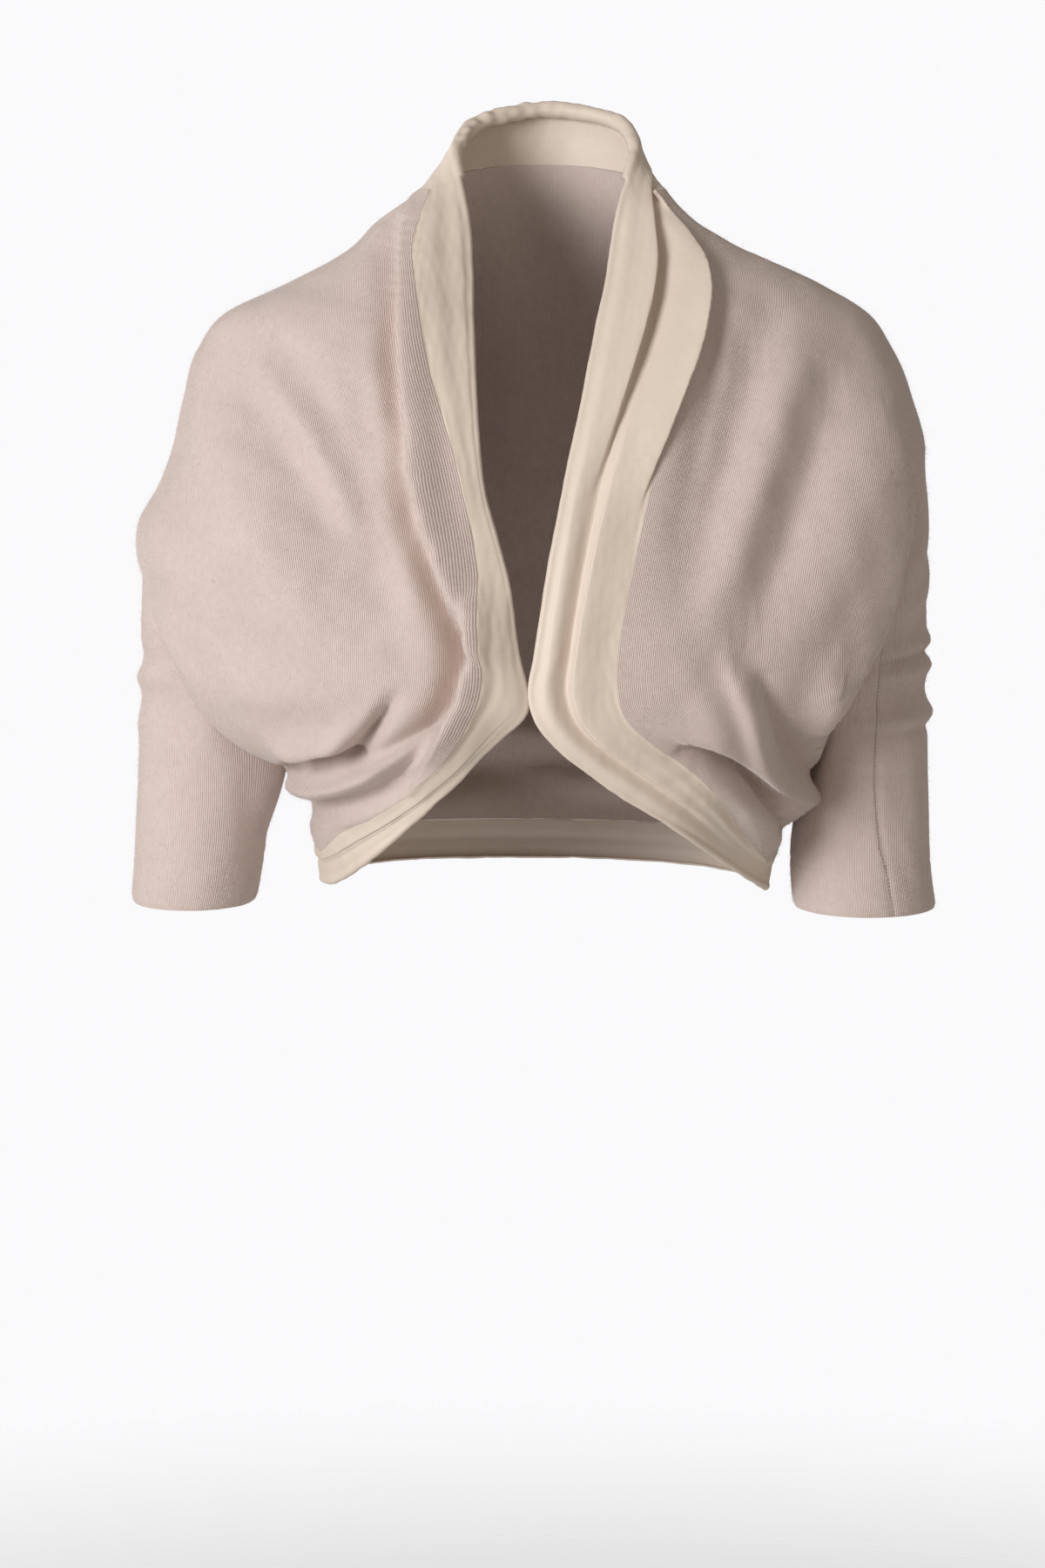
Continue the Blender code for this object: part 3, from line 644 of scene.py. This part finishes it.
def wall(name, outer, inner, along, down, finish, closed=False):
    """A wall of cloth between two grids of points, with its threads' run as a map in metres."""
    rows, columns = outer.shape[0] - 1, outer.shape[1] - 1
    shape = bmesh.new()
    threads = shape.loops.layers.uv.new("threads")
    bmesh.ops.create_grid(shape, x_segments=columns, y_segments=rows, size=0.5)
    bmesh.ops.translate(shape, verts=shape.verts, vec=(0.5, 0.5, 0))
    made = bmesh.ops.extrude_face_region(shape, geom=shape.faces[:], use_keep_orig=True)
    raised = [v for v in made["geom"] if isinstance(v, bmesh.types.BMVert)]
    bmesh.ops.translate(shape, verts=raised, vec=(0, 0, 1))
    if closed:
        ends = [
            face
            for face in shape.faces
            if all(v.co.x < 0.001 for v in face.verts) or all(v.co.x > 0.999 for v in face.verts)
        ]
        bmesh.ops.delete(shape, geom=ends, context="FACES_ONLY")
    places = {}
    for vertex in shape.verts:
        column, row = round(vertex.co.x * columns), round(vertex.co.y * rows)
        places[vertex] = row, column, vertex.co.z > 0.5
    for face in shape.faces:
        for loop in face.loops:
            row, column, _ = places[loop.vert]
            loop[threads].uv = along[row, column] * MM, down[row, column] * MM
    for vertex, (row, column, is_outer) in places.items():
        vertex.co = (outer if is_outer else inner)[row, column] * MM
    if closed:
        bmesh.ops.remove_doubles(shape, verts=shape.verts, dist=0.000005)
    for edge in shape.edges:
        edge.smooth = edge.calc_face_angle(0) < RIM_ANGLE
    if shape.calc_volume(signed=True) < 0:
        bmesh.ops.reverse_faces(shape, faces=shape.faces)
    return link(name + "_cloth", shape, finish, [name])


def rim_calm(shape):
    """1 inside a panel and 0 at its edges, so that neighbours still meet."""
    rows, columns = (np.arange(count) for count in shape)
    near_rows = np.minimum(rows, rows[::-1])[:, None]
    near_columns = np.minimum(columns, columns[::-1])[None, :]
    return ease(np.minimum(near_rows, near_columns) / (2.0 * FINE))


def swell(points, seed):
    """How far the cloth's small unevenness lifts each point."""
    return sum(
        height * ripple(points, length, seed + 50 * number, (1, 1, stretch))
        for number, (height, length, stretch) in enumerate(SWELLS)
    )


def panel(name, grid, swings, seed, plumb, finish):
    """A panel between two side seams, whose ribs run beside its plumb column."""
    points, out = body(*grid)
    guide = seam_directions(points, out, *swings)
    points = points + guide * (rim_calm(points.shape[:2]) * swell(points, seed))[..., None]
    guide = seam_directions(points, out, *swings)
    points = trim(points)
    plain = plain_body(*grid)
    along, down = run_lengths(plain, 1), run_lengths(plain, 0)
    along = along - along[:, plumb][:, None]
    inner = points - guide * KNIT_THICK
    return wall(name, points, inner, along, down, finish), points, guide


def front_panel(side, finish):
    name, swings = SIDE_NAMES[side] + "_front", panel_sides(side)[1]
    return panel(name, front_grid(side), (swings, 0 * swings), 11 + side, -1, finish)


def back_panel(finish):
    swings = panel_sides(RIGHT)[1], panel_sides(LEFT)[1]
    return panel("back", back_grid(), swings, 21, BACK_COLUMNS * FINE // 2, finish)


def sleeve_seam_turn(side, height):
    rows = np.array(sorted(SLEEVE_SEAMS[side]), float)
    return np.radians(np.interp(height, rows[:, 0], rows[:, 1]))


def sleeve(side, finish):
    """A tube that starts on the slanted armhole and becomes round on its way to the cuff."""
    name = SIDE_NAMES[side] + "_sleeve"
    around = np.linspace(0, 2 * math.pi, 2 * PANEL_ROWS[side][2] * FINE + 1)
    seam_height, swing = armhole(side, around / math.pi, inset=SEAM_GAP * 1.5)
    seam, _ = body(seam_height, side * (math.pi / 2 - swing))
    down = np.linspace(0, 1, SLEEVE_ROWS[side] * FINE + 1)[:, None]
    height = seam[:, 2] + (CUFF_HEIGHT[side] - seam[:, 2]) * down
    across, front = side * np.cos(around), -np.sin(around)
    puff = np.zeros_like(height)
    for ring_height, half_height, lift, slant in SLEEVE_RINGS[side]:
        strength = np.maximum(0, np.cos(around - RING_TURN)) ** RING_SPREAD
        away = (height - ring_height + slant * np.sin(around)) / half_height
        puff += lift * strength * np.exp(-(away**2))
    table = SLEEVES[side]
    tube = np.stack(
        [
            smooth(table, 1, height) + across * (smooth(table, 3, height) + puff),
            smooth(table, 2, height) + front * (smooth(table, 4, height) + puff),
            height,
        ],
        axis=-1,
    )
    blend = ease(down / SLEEVE_BLEND)[..., None]
    points = seam * (1 - blend) + tube * blend
    points[..., 2] = height
    guide = np.stack([across, front, np.zeros_like(across)], axis=-1) * down[..., None]
    directions = surface_directions(points, guide, closed=True)
    calm = ease(down * SLEEVE_ROWS[side] / 2)
    seam_turn = sleeve_seam_turn(side, height)
    away_from_seam = np.abs(np.angle(np.exp(1j * (around - seam_turn))))
    away_from_seam = away_from_seam * SLEEVE_RADIUS / SEAM_GROOVE_WIDTH
    groove = -SEAM_GROOVE * np.exp(-(away_from_seam**2))
    wobble = swell(points, 31 + side) * SLEEVE_SWELL
    points = points + directions * (calm * (wobble + groove))[..., None]
    from_cuff = points[..., 2] - CUFF_HEIGHT[side]
    rolled = -CUFF_ROLL * np.exp(-from_cuff / CUFF_ROLL_REACH)
    hem_line = -HEM_LINE * np.exp(-(((from_cuff - CUFF_HEM) / HEM_LINE_WIDTH) ** 2))
    points = points + directions * (rolled + hem_line)[..., None]
    directions = surface_directions(points, guide, closed=True)
    along = np.broadcast_to(
        np.linspace(0, 1, len(around)) * run_lengths(points, 1)[-1, -1], height.shape
    )
    thick = np.where(from_cuff < CUFF_HEM, KNIT_THICK * CUFF_HEM_THICKER, KNIT_THICK)
    thick = thick * (1 - CUFF_ROLL_THINNER * np.exp(-from_cuff / CUFF_ROLL_REACH))
    inner = points - directions * thick[..., None]
    piece = wall(name, points, inner, along, height, finish, closed=True)
    return piece, points, directions


def free_edge(side, heights):
    table = RIGHT_FREE_EDGE if side == RIGHT else LEFT_FREE_EDGE
    return np.stack([smooth(table, column, heights) for column in (1, 2, 3)], axis=-1)


def pleat_shape(stations, shares):
    """The pleats' lift and lean at each station of the band and share across it."""
    lift, lean = (np.zeros((len(shares), len(stations))) for _ in range(2))
    for begin, first, middle, second, stop, third, to_seam, to_edge, height, tip in PLEATS:
        bend = np.polyfit([0, (middle - begin) / (stop - begin), 1], [first, second, third], 2)
        for shift in (-4, 0, 4):
            at = (stations + shift - begin) / (stop - begin)
            crest = np.polyval(bend, np.clip(at, 0, 1))
            fade = np.sin(math.pi * np.clip(at, 0, 1)) ** 1.2
            beside = shares[:, None] - crest[None, :]
            width = np.where(beside < 0, to_seam, to_edge)
            profile = fade * np.exp(-((beside / width) ** 2))
            lift += height * profile
            lean += tip * profile
    return lift, lean


def blur(values, reach):
    """The values averaged with their neighbours along the second-last axis, which is a loop
    whose first place comes again at its end."""
    steps = np.arange(-3 * reach, 3 * reach + 1)
    weights = np.exp(-((steps / reach) ** 2) / 2)
    loop = values[..., :-1, :]
    mean = sum(w * np.roll(loop, step, axis=-2) for w, step in zip(weights, steps)) / weights.sum()
    return np.concatenate([mean, mean[..., :1, :]], axis=-2)


def way_along(points):
    """Each point's share of the way along a line of points."""
    total = np.cumsum(np.linalg.norm(np.diff(points, axis=0), axis=1))
    return np.insert(total, 0, 0) / total[-1]


def band_loop():
    """The silk band's points and directions, from the right front's foot round the neck,
    down the left front and back round the hem, with its joints and stations."""
    heights, _ = panel_sides(RIGHT)
    right_seam = body(heights, front_edge_turn(RIGHT, heights))
    left_heights, _ = panel_sides(LEFT)
    left_seam = body(left_heights, front_edge_turn(LEFT, left_heights))
    back_height, back_turn = back_grid()
    nape, rear = (body(back_height[row], back_turn[row]) for row in (0, -1))
    inner = slice(HEM_STEP, FRONT_COLUMNS * FINE, HEM_STEP)
    right_hem, left_hem = (
        body(*(part[-1, inner] for part in front_grid(side))) for side in (RIGHT, LEFT)
    )
    sections = [
        [part[::-1] for part in right_seam],
        nape,
        left_seam,
        [part[::-1] for part in left_hem],
        [part[::-1] for part in rear],
        right_hem,
        [part[-1:] for part in right_seam],
    ]
    seam = np.concatenate([points for points, _ in sections])
    out = np.concatenate([directions for _, directions in sections])
    rows, nape_count = len(heights), len(nape[0])
    left_start = rows + nape_count
    hem_start = left_start + rows
    joints = rows - 1, left_start, hem_start - 1, len(seam) - 1
    stations = np.concatenate(
        [
            way_along(seam[:rows]),
            np.linspace(1, 2, nape_count + 2)[1:-1],
            2 + way_along(seam[left_start:hem_start]),
            np.linspace(3, 4, len(seam) - hem_start + 1)[1:],
        ]
    )

    neck = seam[rows - 1 : left_start + 1]
    way = way_along(neck)[1:-1]
    collar = np.stack([smooth(COLLAR_TOP, column, way) for column in (1, 2, 3)], axis=-1)
    right_free, left_free = free_edge(RIGHT, heights)[::-1], free_edge(LEFT, left_heights)
    drop = -out[hem_start:] * 2 - [0, 0, HEM_BAND_DROP]
    count = np.arange(1, len(drop) + 1)[:, None]
    from_left = 1 - ease(count / (FRONT_COLUMNS * FINE / HEM_STEP))
    from_right = from_left[::-1]
    from_right = np.concatenate([from_right[1:], [[1.0]]])
    left_drop, right_drop = left_free[-1] - seam[hem_start - 1], right_free[0] - seam[0]
    drop = drop * (1 - from_left - from_right) + left_drop * from_left + right_drop * from_right
    free = np.concatenate([right_free, collar, left_free, seam[hem_start:] + drop])

    corner = sum(np.exp(-(((stations - at) / CORNER_REACH) ** 2)) for at in (0, 1, 2, 3, 4))
    corner = np.minimum(corner, 1)[:, None]
    free = free * (1 - corner) + blur(free, CORNER_BLUR) * corner
    out = unit(out * (1 - corner) + blur(out, CORNER_BLUR) * corner)
    shares = np.linspace(0, 1, STAND_ROWS * BAND_FINE_ACROSS + 1)
    lift, lean = pleat_shape(stations, shares)
    edge_fade = ease(shares / PLEAT_SEAM_FADE) * ease((1 - shares) / PLEAT_EDGE_FADE)
    edge_fade = edge_fade[:, None]
    bulge = np.sin(math.pi * shares)[:, None]
    lift, lean = lift * edge_fade, lean * edge_fade
    lift[:, rows:left_start] += COLLAR_BULGE * bulge * np.sin(math.pi * way)

    rise = free - seam
    wide = np.clip(np.linalg.norm(rise, axis=-1) / PLEATED_WIDTH, 0, 1)
    lift, lean = lift * wide, lean * wide
    ring = np.concatenate([seam[-2:-1], seam, seam[1:2]])
    flat = unit(np.cross(rise, ring[2:] - ring[:-2]))
    flat *= np.where((flat * out).sum(-1, keepdims=True) < 0, -1, 1)
    share = shares[:, None, None]
    turned = ease(share / FREE_SHARE)
    stand_out = unit(out * (1 - turned) + flat * turned)
    stand = seam + rise * share + stand_out * lift[..., None] + unit(rise) * lean[..., None]
    at_neck = np.exp(-(((stations - 1) / CORNER_REACH) ** 2))[:, None]
    own = 1 - corner * (1 - 0.5 * at_neck) * turned * ease((1 - share) / CORNER_FADE)
    stand = stand * own + blur(stand, CORNER_BLUR) * (1 - own)
    swollen = np.zeros(len(seam))
    swollen[rows:left_start] = np.sqrt(np.sin(math.pi * way))
    radius = (EDGE_RADIUS + (NAPE_RADIUS - EDGE_RADIUS) * swollen)[:, None]
    angle = (EDGE_TURN + (NAPE_TURN - EDGE_TURN) * swollen)[:, None]
    turns = np.linspace(0, 1, EDGE_ROWS * BAND_FINE_ACROSS + 1)[1:, None, None]
    angle = angle * turns
    run = np.concatenate([free[-2:-1], free, free[1:2]])
    run = unit(run[2:] - run[:-2])
    flat = unit(flat - run * (flat * run).sum(-1, keepdims=True))
    ahead = np.cross(flat, run)
    ahead *= np.sign((ahead * rise).sum(-1, keepdims=True))
    over = free - flat * radius + (flat * np.cos(angle) + ahead * np.sin(angle)) * radius
    points = np.concatenate([stand, over])
    guide = np.concatenate([stand_out, over * 0])
    directions = surface_directions(points, guide, closed=True)
    (long, long_length), (short, short_length) = CRINKLES
    crinkle = long * ripple(points, long_length, 71, (1, 1, 2))
    crinkle = crinkle + short * ripple(points, short_length, 72)
    across = np.linspace(0, 1, len(points))[:, None]
    gather = SEAM_GATHER * ripple(points, GATHER_LENGTH, 73)
    gather = gather * np.exp(-np.abs(across - GATHER_SHARE) / GATHER_FADE)
    calm = ease(across / SEAM_CALM)
    on_roll = ease((np.arange(len(points)) - len(shares)) / BUNCH_ROWS)[:, None]
    bunched = np.exp(-(((stations - BUNCH_STATION) / BUNCH_REACH) ** 2))
    bunched = bunched + NECK_BUNCH * np.sin(math.pi * np.clip(stations - 1, 0, 1))
    crinkle = crinkle + BUNCH * ripple(points, BUNCH_LENGTH, 75) * on_roll * bunched
    points = points + directions * ((crinkle + gather) * calm)[..., None]
    directions = surface_directions(points, guide, closed=True)
    return points, directions, joints


def bands(finish):
    points, directions, joints = band_loop()
    along = run_lengths(points, 0)
    middle = STAND_ROWS * BAND_FINE_ACROSS // 2
    down = np.broadcast_to(run_lengths(points[middle : middle + 1], 1), along.shape)
    names = "right_band", "neck_band", "left_band", "hem_band"
    made = []
    for name, start, end in zip(names, (0, *joints[:-1]), joints):
        part = slice(start, end + 1)
        outer = points[:, part]
        inner = outer - directions[:, part] * SILK_THICK
        made.append(wall(name, outer, inner, along[:, part], down[:, part], finish))
    return made


def at_share(place, way, line):
    """The point of a line, or the direction on it, at a share of the way."""
    return np.array([np.interp(place, way, values) for values in line.T])


def sleeve_stitches(side, points, directions, finish):
    """The linking thread along a sleeve's seam. Its dark finish is painted shade for the seam's
    thin shadow line.
    """
    columns = points.shape[1] - 1
    at = sleeve_seam_turn(side, points[:, 0, 2]) / (2 * math.pi) * columns
    before = np.floor(at).astype(int)
    rows, share = np.arange(len(points)), (at - before)[:, None]
    line = points[rows, before] * (1 - share) + points[rows, before + 1] * share
    out = directions[rows, before]
    way = way_along(line)
    length = np.linalg.norm(np.diff(line, axis=0), axis=1).sum()
    shape = bmesh.new()
    for place in np.arange(0.01, 0.995, STITCH_STEP / length):
        middle, ahead = at_share(place, way, line), at_share(place + 0.01, way, line)
        facing = at_share(place, way, out)
        along = Vector(ahead - middle).normalized()
        turn = along.to_track_quat("X", "Z").to_matrix().to_4x4()
        spot = Matrix.Translation(Vector(middle + facing * STITCH_LIFT) * MM)
        size = Matrix.Diagonal((*(value * MM for value in STITCH_SIZE), 1))
        bmesh.ops.create_icosphere(shape, subdivisions=1, radius=1, matrix=spot @ turn @ size)
    return link(SIDE_NAMES[side] + "_sleeve_seam", shape, finish)


def nap(name, points, directions, doublings, finish, seed):
    """Loose fibres of the brushed knit: thin closed cones that stand off the cloth."""
    shape = bmesh.new()
    bmesh.ops.create_cone(shape, cap_ends=True, segments=3, radius1=1, radius2=0, depth=1)
    for doubling in range(doublings):
        made = bmesh.ops.duplicate(shape, geom=shape.verts[:] + shape.edges[:] + shape.faces[:])
        copied = [part for part in made["geom"] if isinstance(part, bmesh.types.BMVert)]
        bmesh.ops.translate(shape, verts=copied, vec=(NAP_APART * 2**doubling, 0, 0))
    cones = np.array([vertex.co[:] for vertex in shape.verts])
    fibre = np.round(cones[:, 0] / NAP_APART).astype(int)
    cones = cones + [0, 0, 0.5] - np.outer(fibre, [NAP_APART, 0, 0])
    draw = np.random.default_rng(seed)
    count = 2**doublings
    sides = np.linalg.norm(np.diff(points, axis=1), axis=2)[:-1]
    lengths = np.linalg.norm(np.diff(points, axis=0), axis=2)[:, :-1]
    area = (sides * lengths).ravel()
    cell = draw.choice(len(area), count, p=area / area.sum())
    row, column = np.divmod(cell, points.shape[1] - 1)
    u, v = draw.uniform(size=(2, count, 1))
    root = (
        points[row, column] * (1 - u) * (1 - v)
        + points[row, column + 1] * u * (1 - v)
        + points[row + 1, column] * (1 - u) * v
        + points[row + 1, column + 1] * u * v
    )
    out = directions[row, column]
    tip = unit(out + draw.normal(size=(count, 3)) * NAP_TANGLE)
    rise = np.minimum((tip * out).sum(-1, keepdims=True), NAP_LEAST_RISE)
    tip = unit(tip + out * (NAP_LEAST_RISE - rise))
    first = unit(np.cross(tip, draw.normal(size=(count, 3))))
    second = np.cross(tip, first)
    reach = draw.gamma(3.0, NAP_LENGTH / 3, size=(count, 1))
    thick = draw.uniform(0.6, 1.0, size=(count, 1)) * NAP_THICK
    across = first[fibre] * cones[:, :1] + second[fibre] * cones[:, 1:2]
    places = root[fibre] + across * thick[fibre] + tip[fibre] * cones[:, 2:] * reach[fibre]
    for vertex, place in zip(shape.verts, places):
        vertex.co = place * MM
    return link(name, shape, finish)


# ---- finishes ----


class Signal:
    """A shader socket that takes part in Python's sums."""

    def __init__(self, paint, socket):
        self.paint, self.socket = paint, socket

    def __add__(self, other):
        return self.paint.sum("ADD", self, other)

    def __sub__(self, other):
        return self.paint.sum("SUBTRACT", self, other)

    def __rsub__(self, other):
        return self.paint.sum("SUBTRACT", other, self)

    def __mul__(self, other):
        return self.paint.sum("MULTIPLY", self, other)


class Paint:
    """One material, whose nodes are made from their type, settings and sockets."""

    def __init__(self, name):
        self.material = bpy.data.materials.new(name)
        self.material.use_nodes = True
        self.tree = self.material.node_tree
        self.shader = self.tree.nodes["Principled BSDF"]

    def node(self, kind, settings=None, sockets=None, output=0):
        made = self.tree.nodes.new(kind)
        for name, value in (settings or {}).items():
            if name == "stops":
                while len(made.color_ramp.elements) < len(value):
                    made.color_ramp.elements.new(1)
                for element, (place, colour) in zip(made.color_ramp.elements, value):
                    element.position, element.color = place, colour
            else:
                setattr(made, name, value)
        for name, value in (sockets or {}).items():
            self.feed(made.inputs[name], value)
        return Signal(self, made.outputs[output])

    def feed(self, socket, value):
        if isinstance(value, Signal):
            self.tree.links.new(value.socket, socket)
        else:
            socket.default_value = value

    def sum(self, operation, *values):
        return self.node("ShaderNodeMath", {"operation": operation}, dict(enumerate(values)))

    def scaled(self, vector, factors):
        return self.node(
            "ShaderNodeVectorMath", {"operation": "MULTIPLY"}, {0: vector, 1: factors}
        )

    def noise(self, vector, scale, detail=2.0, roughness=0.5):
        sockets = {"Vector": vector, "Scale": scale, "Detail": detail, "Roughness": roughness}
        return self.node("ShaderNodeTexNoise", None, sockets)

    def blend(self, share, first, second):
        sockets = {0: share, 6: first, 7: second}
        return self.node("ShaderNodeMix", {"data_type": "RGBA"}, sockets, 2)

    def finish(self, **sockets):
        for name, value in sockets.items():
            self.feed(self.shader.inputs[name.replace("_", " ")], value)
        return self.material


def knit(name, light, dark):
    """Soft plain knit: ribs of slanting stitches with painted shade in their grooves, mottled wool
    and a bright nap at the edges.
    """
    paint = Paint(name)
    threads = paint.node("ShaderNodeUVMap", {"uv_map": "threads"})
    across = paint.node("ShaderNodeSeparateXYZ", None, {0: threads})
    down = Signal(paint, across.socket.node.outputs[1])
    place = paint.node("ShaderNodeTexCoord", None, None, 3)
    waver = paint.noise(place, 60.0, 2.0) - 0.5
    column = across * (1 / (WALE * MM)) + waver * 0.25
    beside = paint.sum("ABSOLUTE", paint.sum("FRACT", column) - 0.5)
    leg = 1 - paint.sum("POWER", paint.sum("ABSOLUTE", beside - 0.25) * 4, 1.6)
    step = paint.sum("COSINE", (down * (1 / (COURSE * MM)) + beside * 1.3) * (2 * math.pi))
    stitch = leg * (step * 0.07 + 0.93)
    fluff = paint.noise(place, 900.0, 3.0, 0.6)
    height = stitch * 0.75 + fluff * 0.5
    bump = paint.node(
        "ShaderNodeBump", None, {"Strength": 0.5, "Distance": 0.0008, "Height": height}
    )
    mottle = paint.noise(place, 22.0, 3.0, 0.55) * 0.5 + paint.noise(place, 260.0, 2.0) * 0.5
    # The stitch term paints shade into the grooves between the stitches' legs. The mottle is the
    # wool's own uneven colour.
    tone = stitch * 0.70 + mottle * 0.80 - 0.19
    colour = paint.blend(tone, dark, light)
    return paint.finish(
        Base_Color=colour,
        Roughness=0.92,
        Normal=bump,
        Sheen_Weight=0.55,
        Sheen_Roughness=0.42,
        Sheen_Tint=(1.0, 0.95, 0.92, 1.0),
        Specular_IOR_Level=0.25,
    )


def silk_chiffon(name, light, dark):
    """Doubled chiffon: fine crossing threads with slubs along the strip and a soft gloss."""
    paint = Paint(name)
    threads = paint.node("ShaderNodeUVMap", {"uv_map": "threads"})
    place = paint.node("ShaderNodeTexCoord", None, None, 3)
    warp = paint.noise(paint.scaled(threads, (1100.0, 60.0, 1.0)), 1.0, 3.0)
    weft = paint.noise(paint.scaled(threads, (90.0, 1500.0, 1.0)), 1.0, 2.0)
    crepe = paint.noise(place, 700.0, 3.0, 0.6)
    height = warp * 0.5 + weft * 0.5 + crepe * 0.6
    bump = paint.node(
        "ShaderNodeBump", None, {"Strength": 0.35, "Distance": 0.0003, "Height": height}
    )
    tone = warp * 0.35 + weft * 0.35 + paint.noise(place, 18.0, 3.0, 0.5) * 0.6 - 0.15
    colour = paint.blend(tone, dark, light)
    gloss = 0.62 - warp * 0.12
    return paint.finish(
        Base_Color=colour,
        Roughness=gloss,
        Normal=bump,
        Sheen_Weight=0.25,
        Sheen_Roughness=0.3,
        Specular_IOR_Level=0.4,
    )


# ---- stage ----


def aimed(name, data, place, aim):
    """Puts a lamp or the camera in its place, turned to what it is aimed at."""
    holder = bpy.data.objects.new(name, data)
    holder.location = place
    holder.rotation_euler = (Vector(aim) - Vector(place)).to_track_quat("-Z", "Y").to_euler()
    bpy.context.scene.collection.objects.link(holder)
    return holder


def stage():
    """A pale round floor that fades into a pale background, and soft lamps."""
    shape = bmesh.new()
    bmesh.ops.create_circle(shape, cap_ends=True, segments=96, radius=FLOOR_RADIUS)
    mesh = bpy.data.meshes.new("floor")
    bmesh.ops.translate(shape, verts=shape.verts, vec=(0, 0, FLOOR_HEIGHT))
    shape.to_mesh(mesh)
    shape.free()
    floor = bpy.data.objects.new("floor", mesh)
    bpy.context.scene.collection.objects.link(floor)
    paint = Paint("pale_floor")
    place = paint.node("ShaderNodeTexCoord", None, None, 3)
    reach = paint.node("ShaderNodeVectorMath", {"operation": "LENGTH"}, {0: place}, 1)
    fade = paint.node(
        "ShaderNodeMapRange",
        {"interpolation_type": "SMOOTHSTEP"},
        {"Value": reach, "From Min": FLOOR_FADE[0], "From Max": FLOOR_FADE[1]},
    )
    paint.finish(Base_Color=(0.80, 0.80, 0.81, 1), Roughness=0.9)
    clear = paint.node("ShaderNodeBsdfTransparent")
    mixed = paint.node(
        "ShaderNodeMixShader",
        None,
        {0: fade, 1: Signal(paint, paint.shader.outputs[0]), 2: clear},
    )
    paint.tree.links.new(mixed.socket, paint.tree.nodes["Material Output"].inputs[0])
    mesh.materials.append(paint.material)

    world = bpy.data.worlds.new("pale_room")
    world.use_nodes = True
    tree = world.node_tree
    back = tree.nodes["Background"]
    back.inputs[0].default_value = ROOM_GLOW
    back.inputs[1].default_value = ROOM_POWER
    seen = tree.nodes.new("ShaderNodeBackground")
    seen.inputs[0].default_value = ROOM_SEEN
    path = tree.nodes.new("ShaderNodeLightPath")
    mix = tree.nodes.new("ShaderNodeMixShader")
    tree.links.new(path.outputs["Is Camera Ray"], mix.inputs[0])
    tree.links.new(back.outputs[0], mix.inputs[1])
    tree.links.new(seen.outputs[0], mix.inputs[2])
    tree.links.new(mix.outputs[0], tree.nodes["World Output"].inputs[0])
    bpy.context.scene.world = world

    for name, place, width, power, colour in LAMPS:
        lamp = bpy.data.lights.new(name, "AREA")
        lamp.shape, lamp.size, lamp.size_y = "RECTANGLE", width, width
        lamp.energy, lamp.color = power, colour
        aimed(name, lamp, place, LAMP_AIM)


def camera():
    bpy.context.scene.view_settings.view_transform = "Standard"
    data = bpy.data.cameras.new("camera")
    data.lens, data.sensor_width, data.sensor_fit = LENS, SENSOR, "AUTO"
    data.clip_start, data.clip_end = 0.05, 50
    bpy.context.scene.camera = aimed("camera", data, CAMERA_PLACE, CAMERA_AIM)


camera()
stage()
body_knit = knit("cashmere_knit", light=(0.70, 0.585, 0.535, 1), dark=(0.49, 0.388, 0.35, 1))
band_silk = silk_chiffon(
    "silk_chiffon", light=(0.745, 0.64, 0.55, 1), dark=(0.61, 0.515, 0.43, 1)
)
wool = Paint("loose_wool").finish(
    Base_Color=(0.74, 0.63, 0.575, 1), Roughness=0.95, Specular_IOR_Level=0.2
)
# The linking thread is painted far darker than the wool: painted shade for the thin shadow line
# along each sleeve's seam.
seam_shadow_thread = Paint("linking_thread_painted_shadow").finish(Base_Color=(0.28, 0.225, 0.235, 1), Roughness=0.8)

back, *back_form = back_panel(body_knit)
right_front, *right_form = front_panel(RIGHT, body_knit)
left_front, *left_form = front_panel(LEFT, body_knit)
right_sleeve, *right_tube = sleeve(RIGHT, body_knit)
left_sleeve, *left_tube = sleeve(LEFT, body_knit)
right_band, neck_band, left_band, hem_band = bands(band_silk)
seams = [
    sleeve_stitches(RIGHT, *right_tube, seam_shadow_thread),
    sleeve_stitches(LEFT, *left_tube, seam_shadow_thread),
]
naps = [
    nap(name, *form, doublings, wool, seed)
    for name, form, doublings, seed in (
        ("back_nap", back_form, 14, 1),
        ("right_front_nap", right_form, 14, 2),
        ("left_front_nap", left_form, 14, 3),
        ("right_sleeve_nap", right_tube, 13, 4),
        ("left_sleeve_nap", left_tube, 13, 5),
    )
]
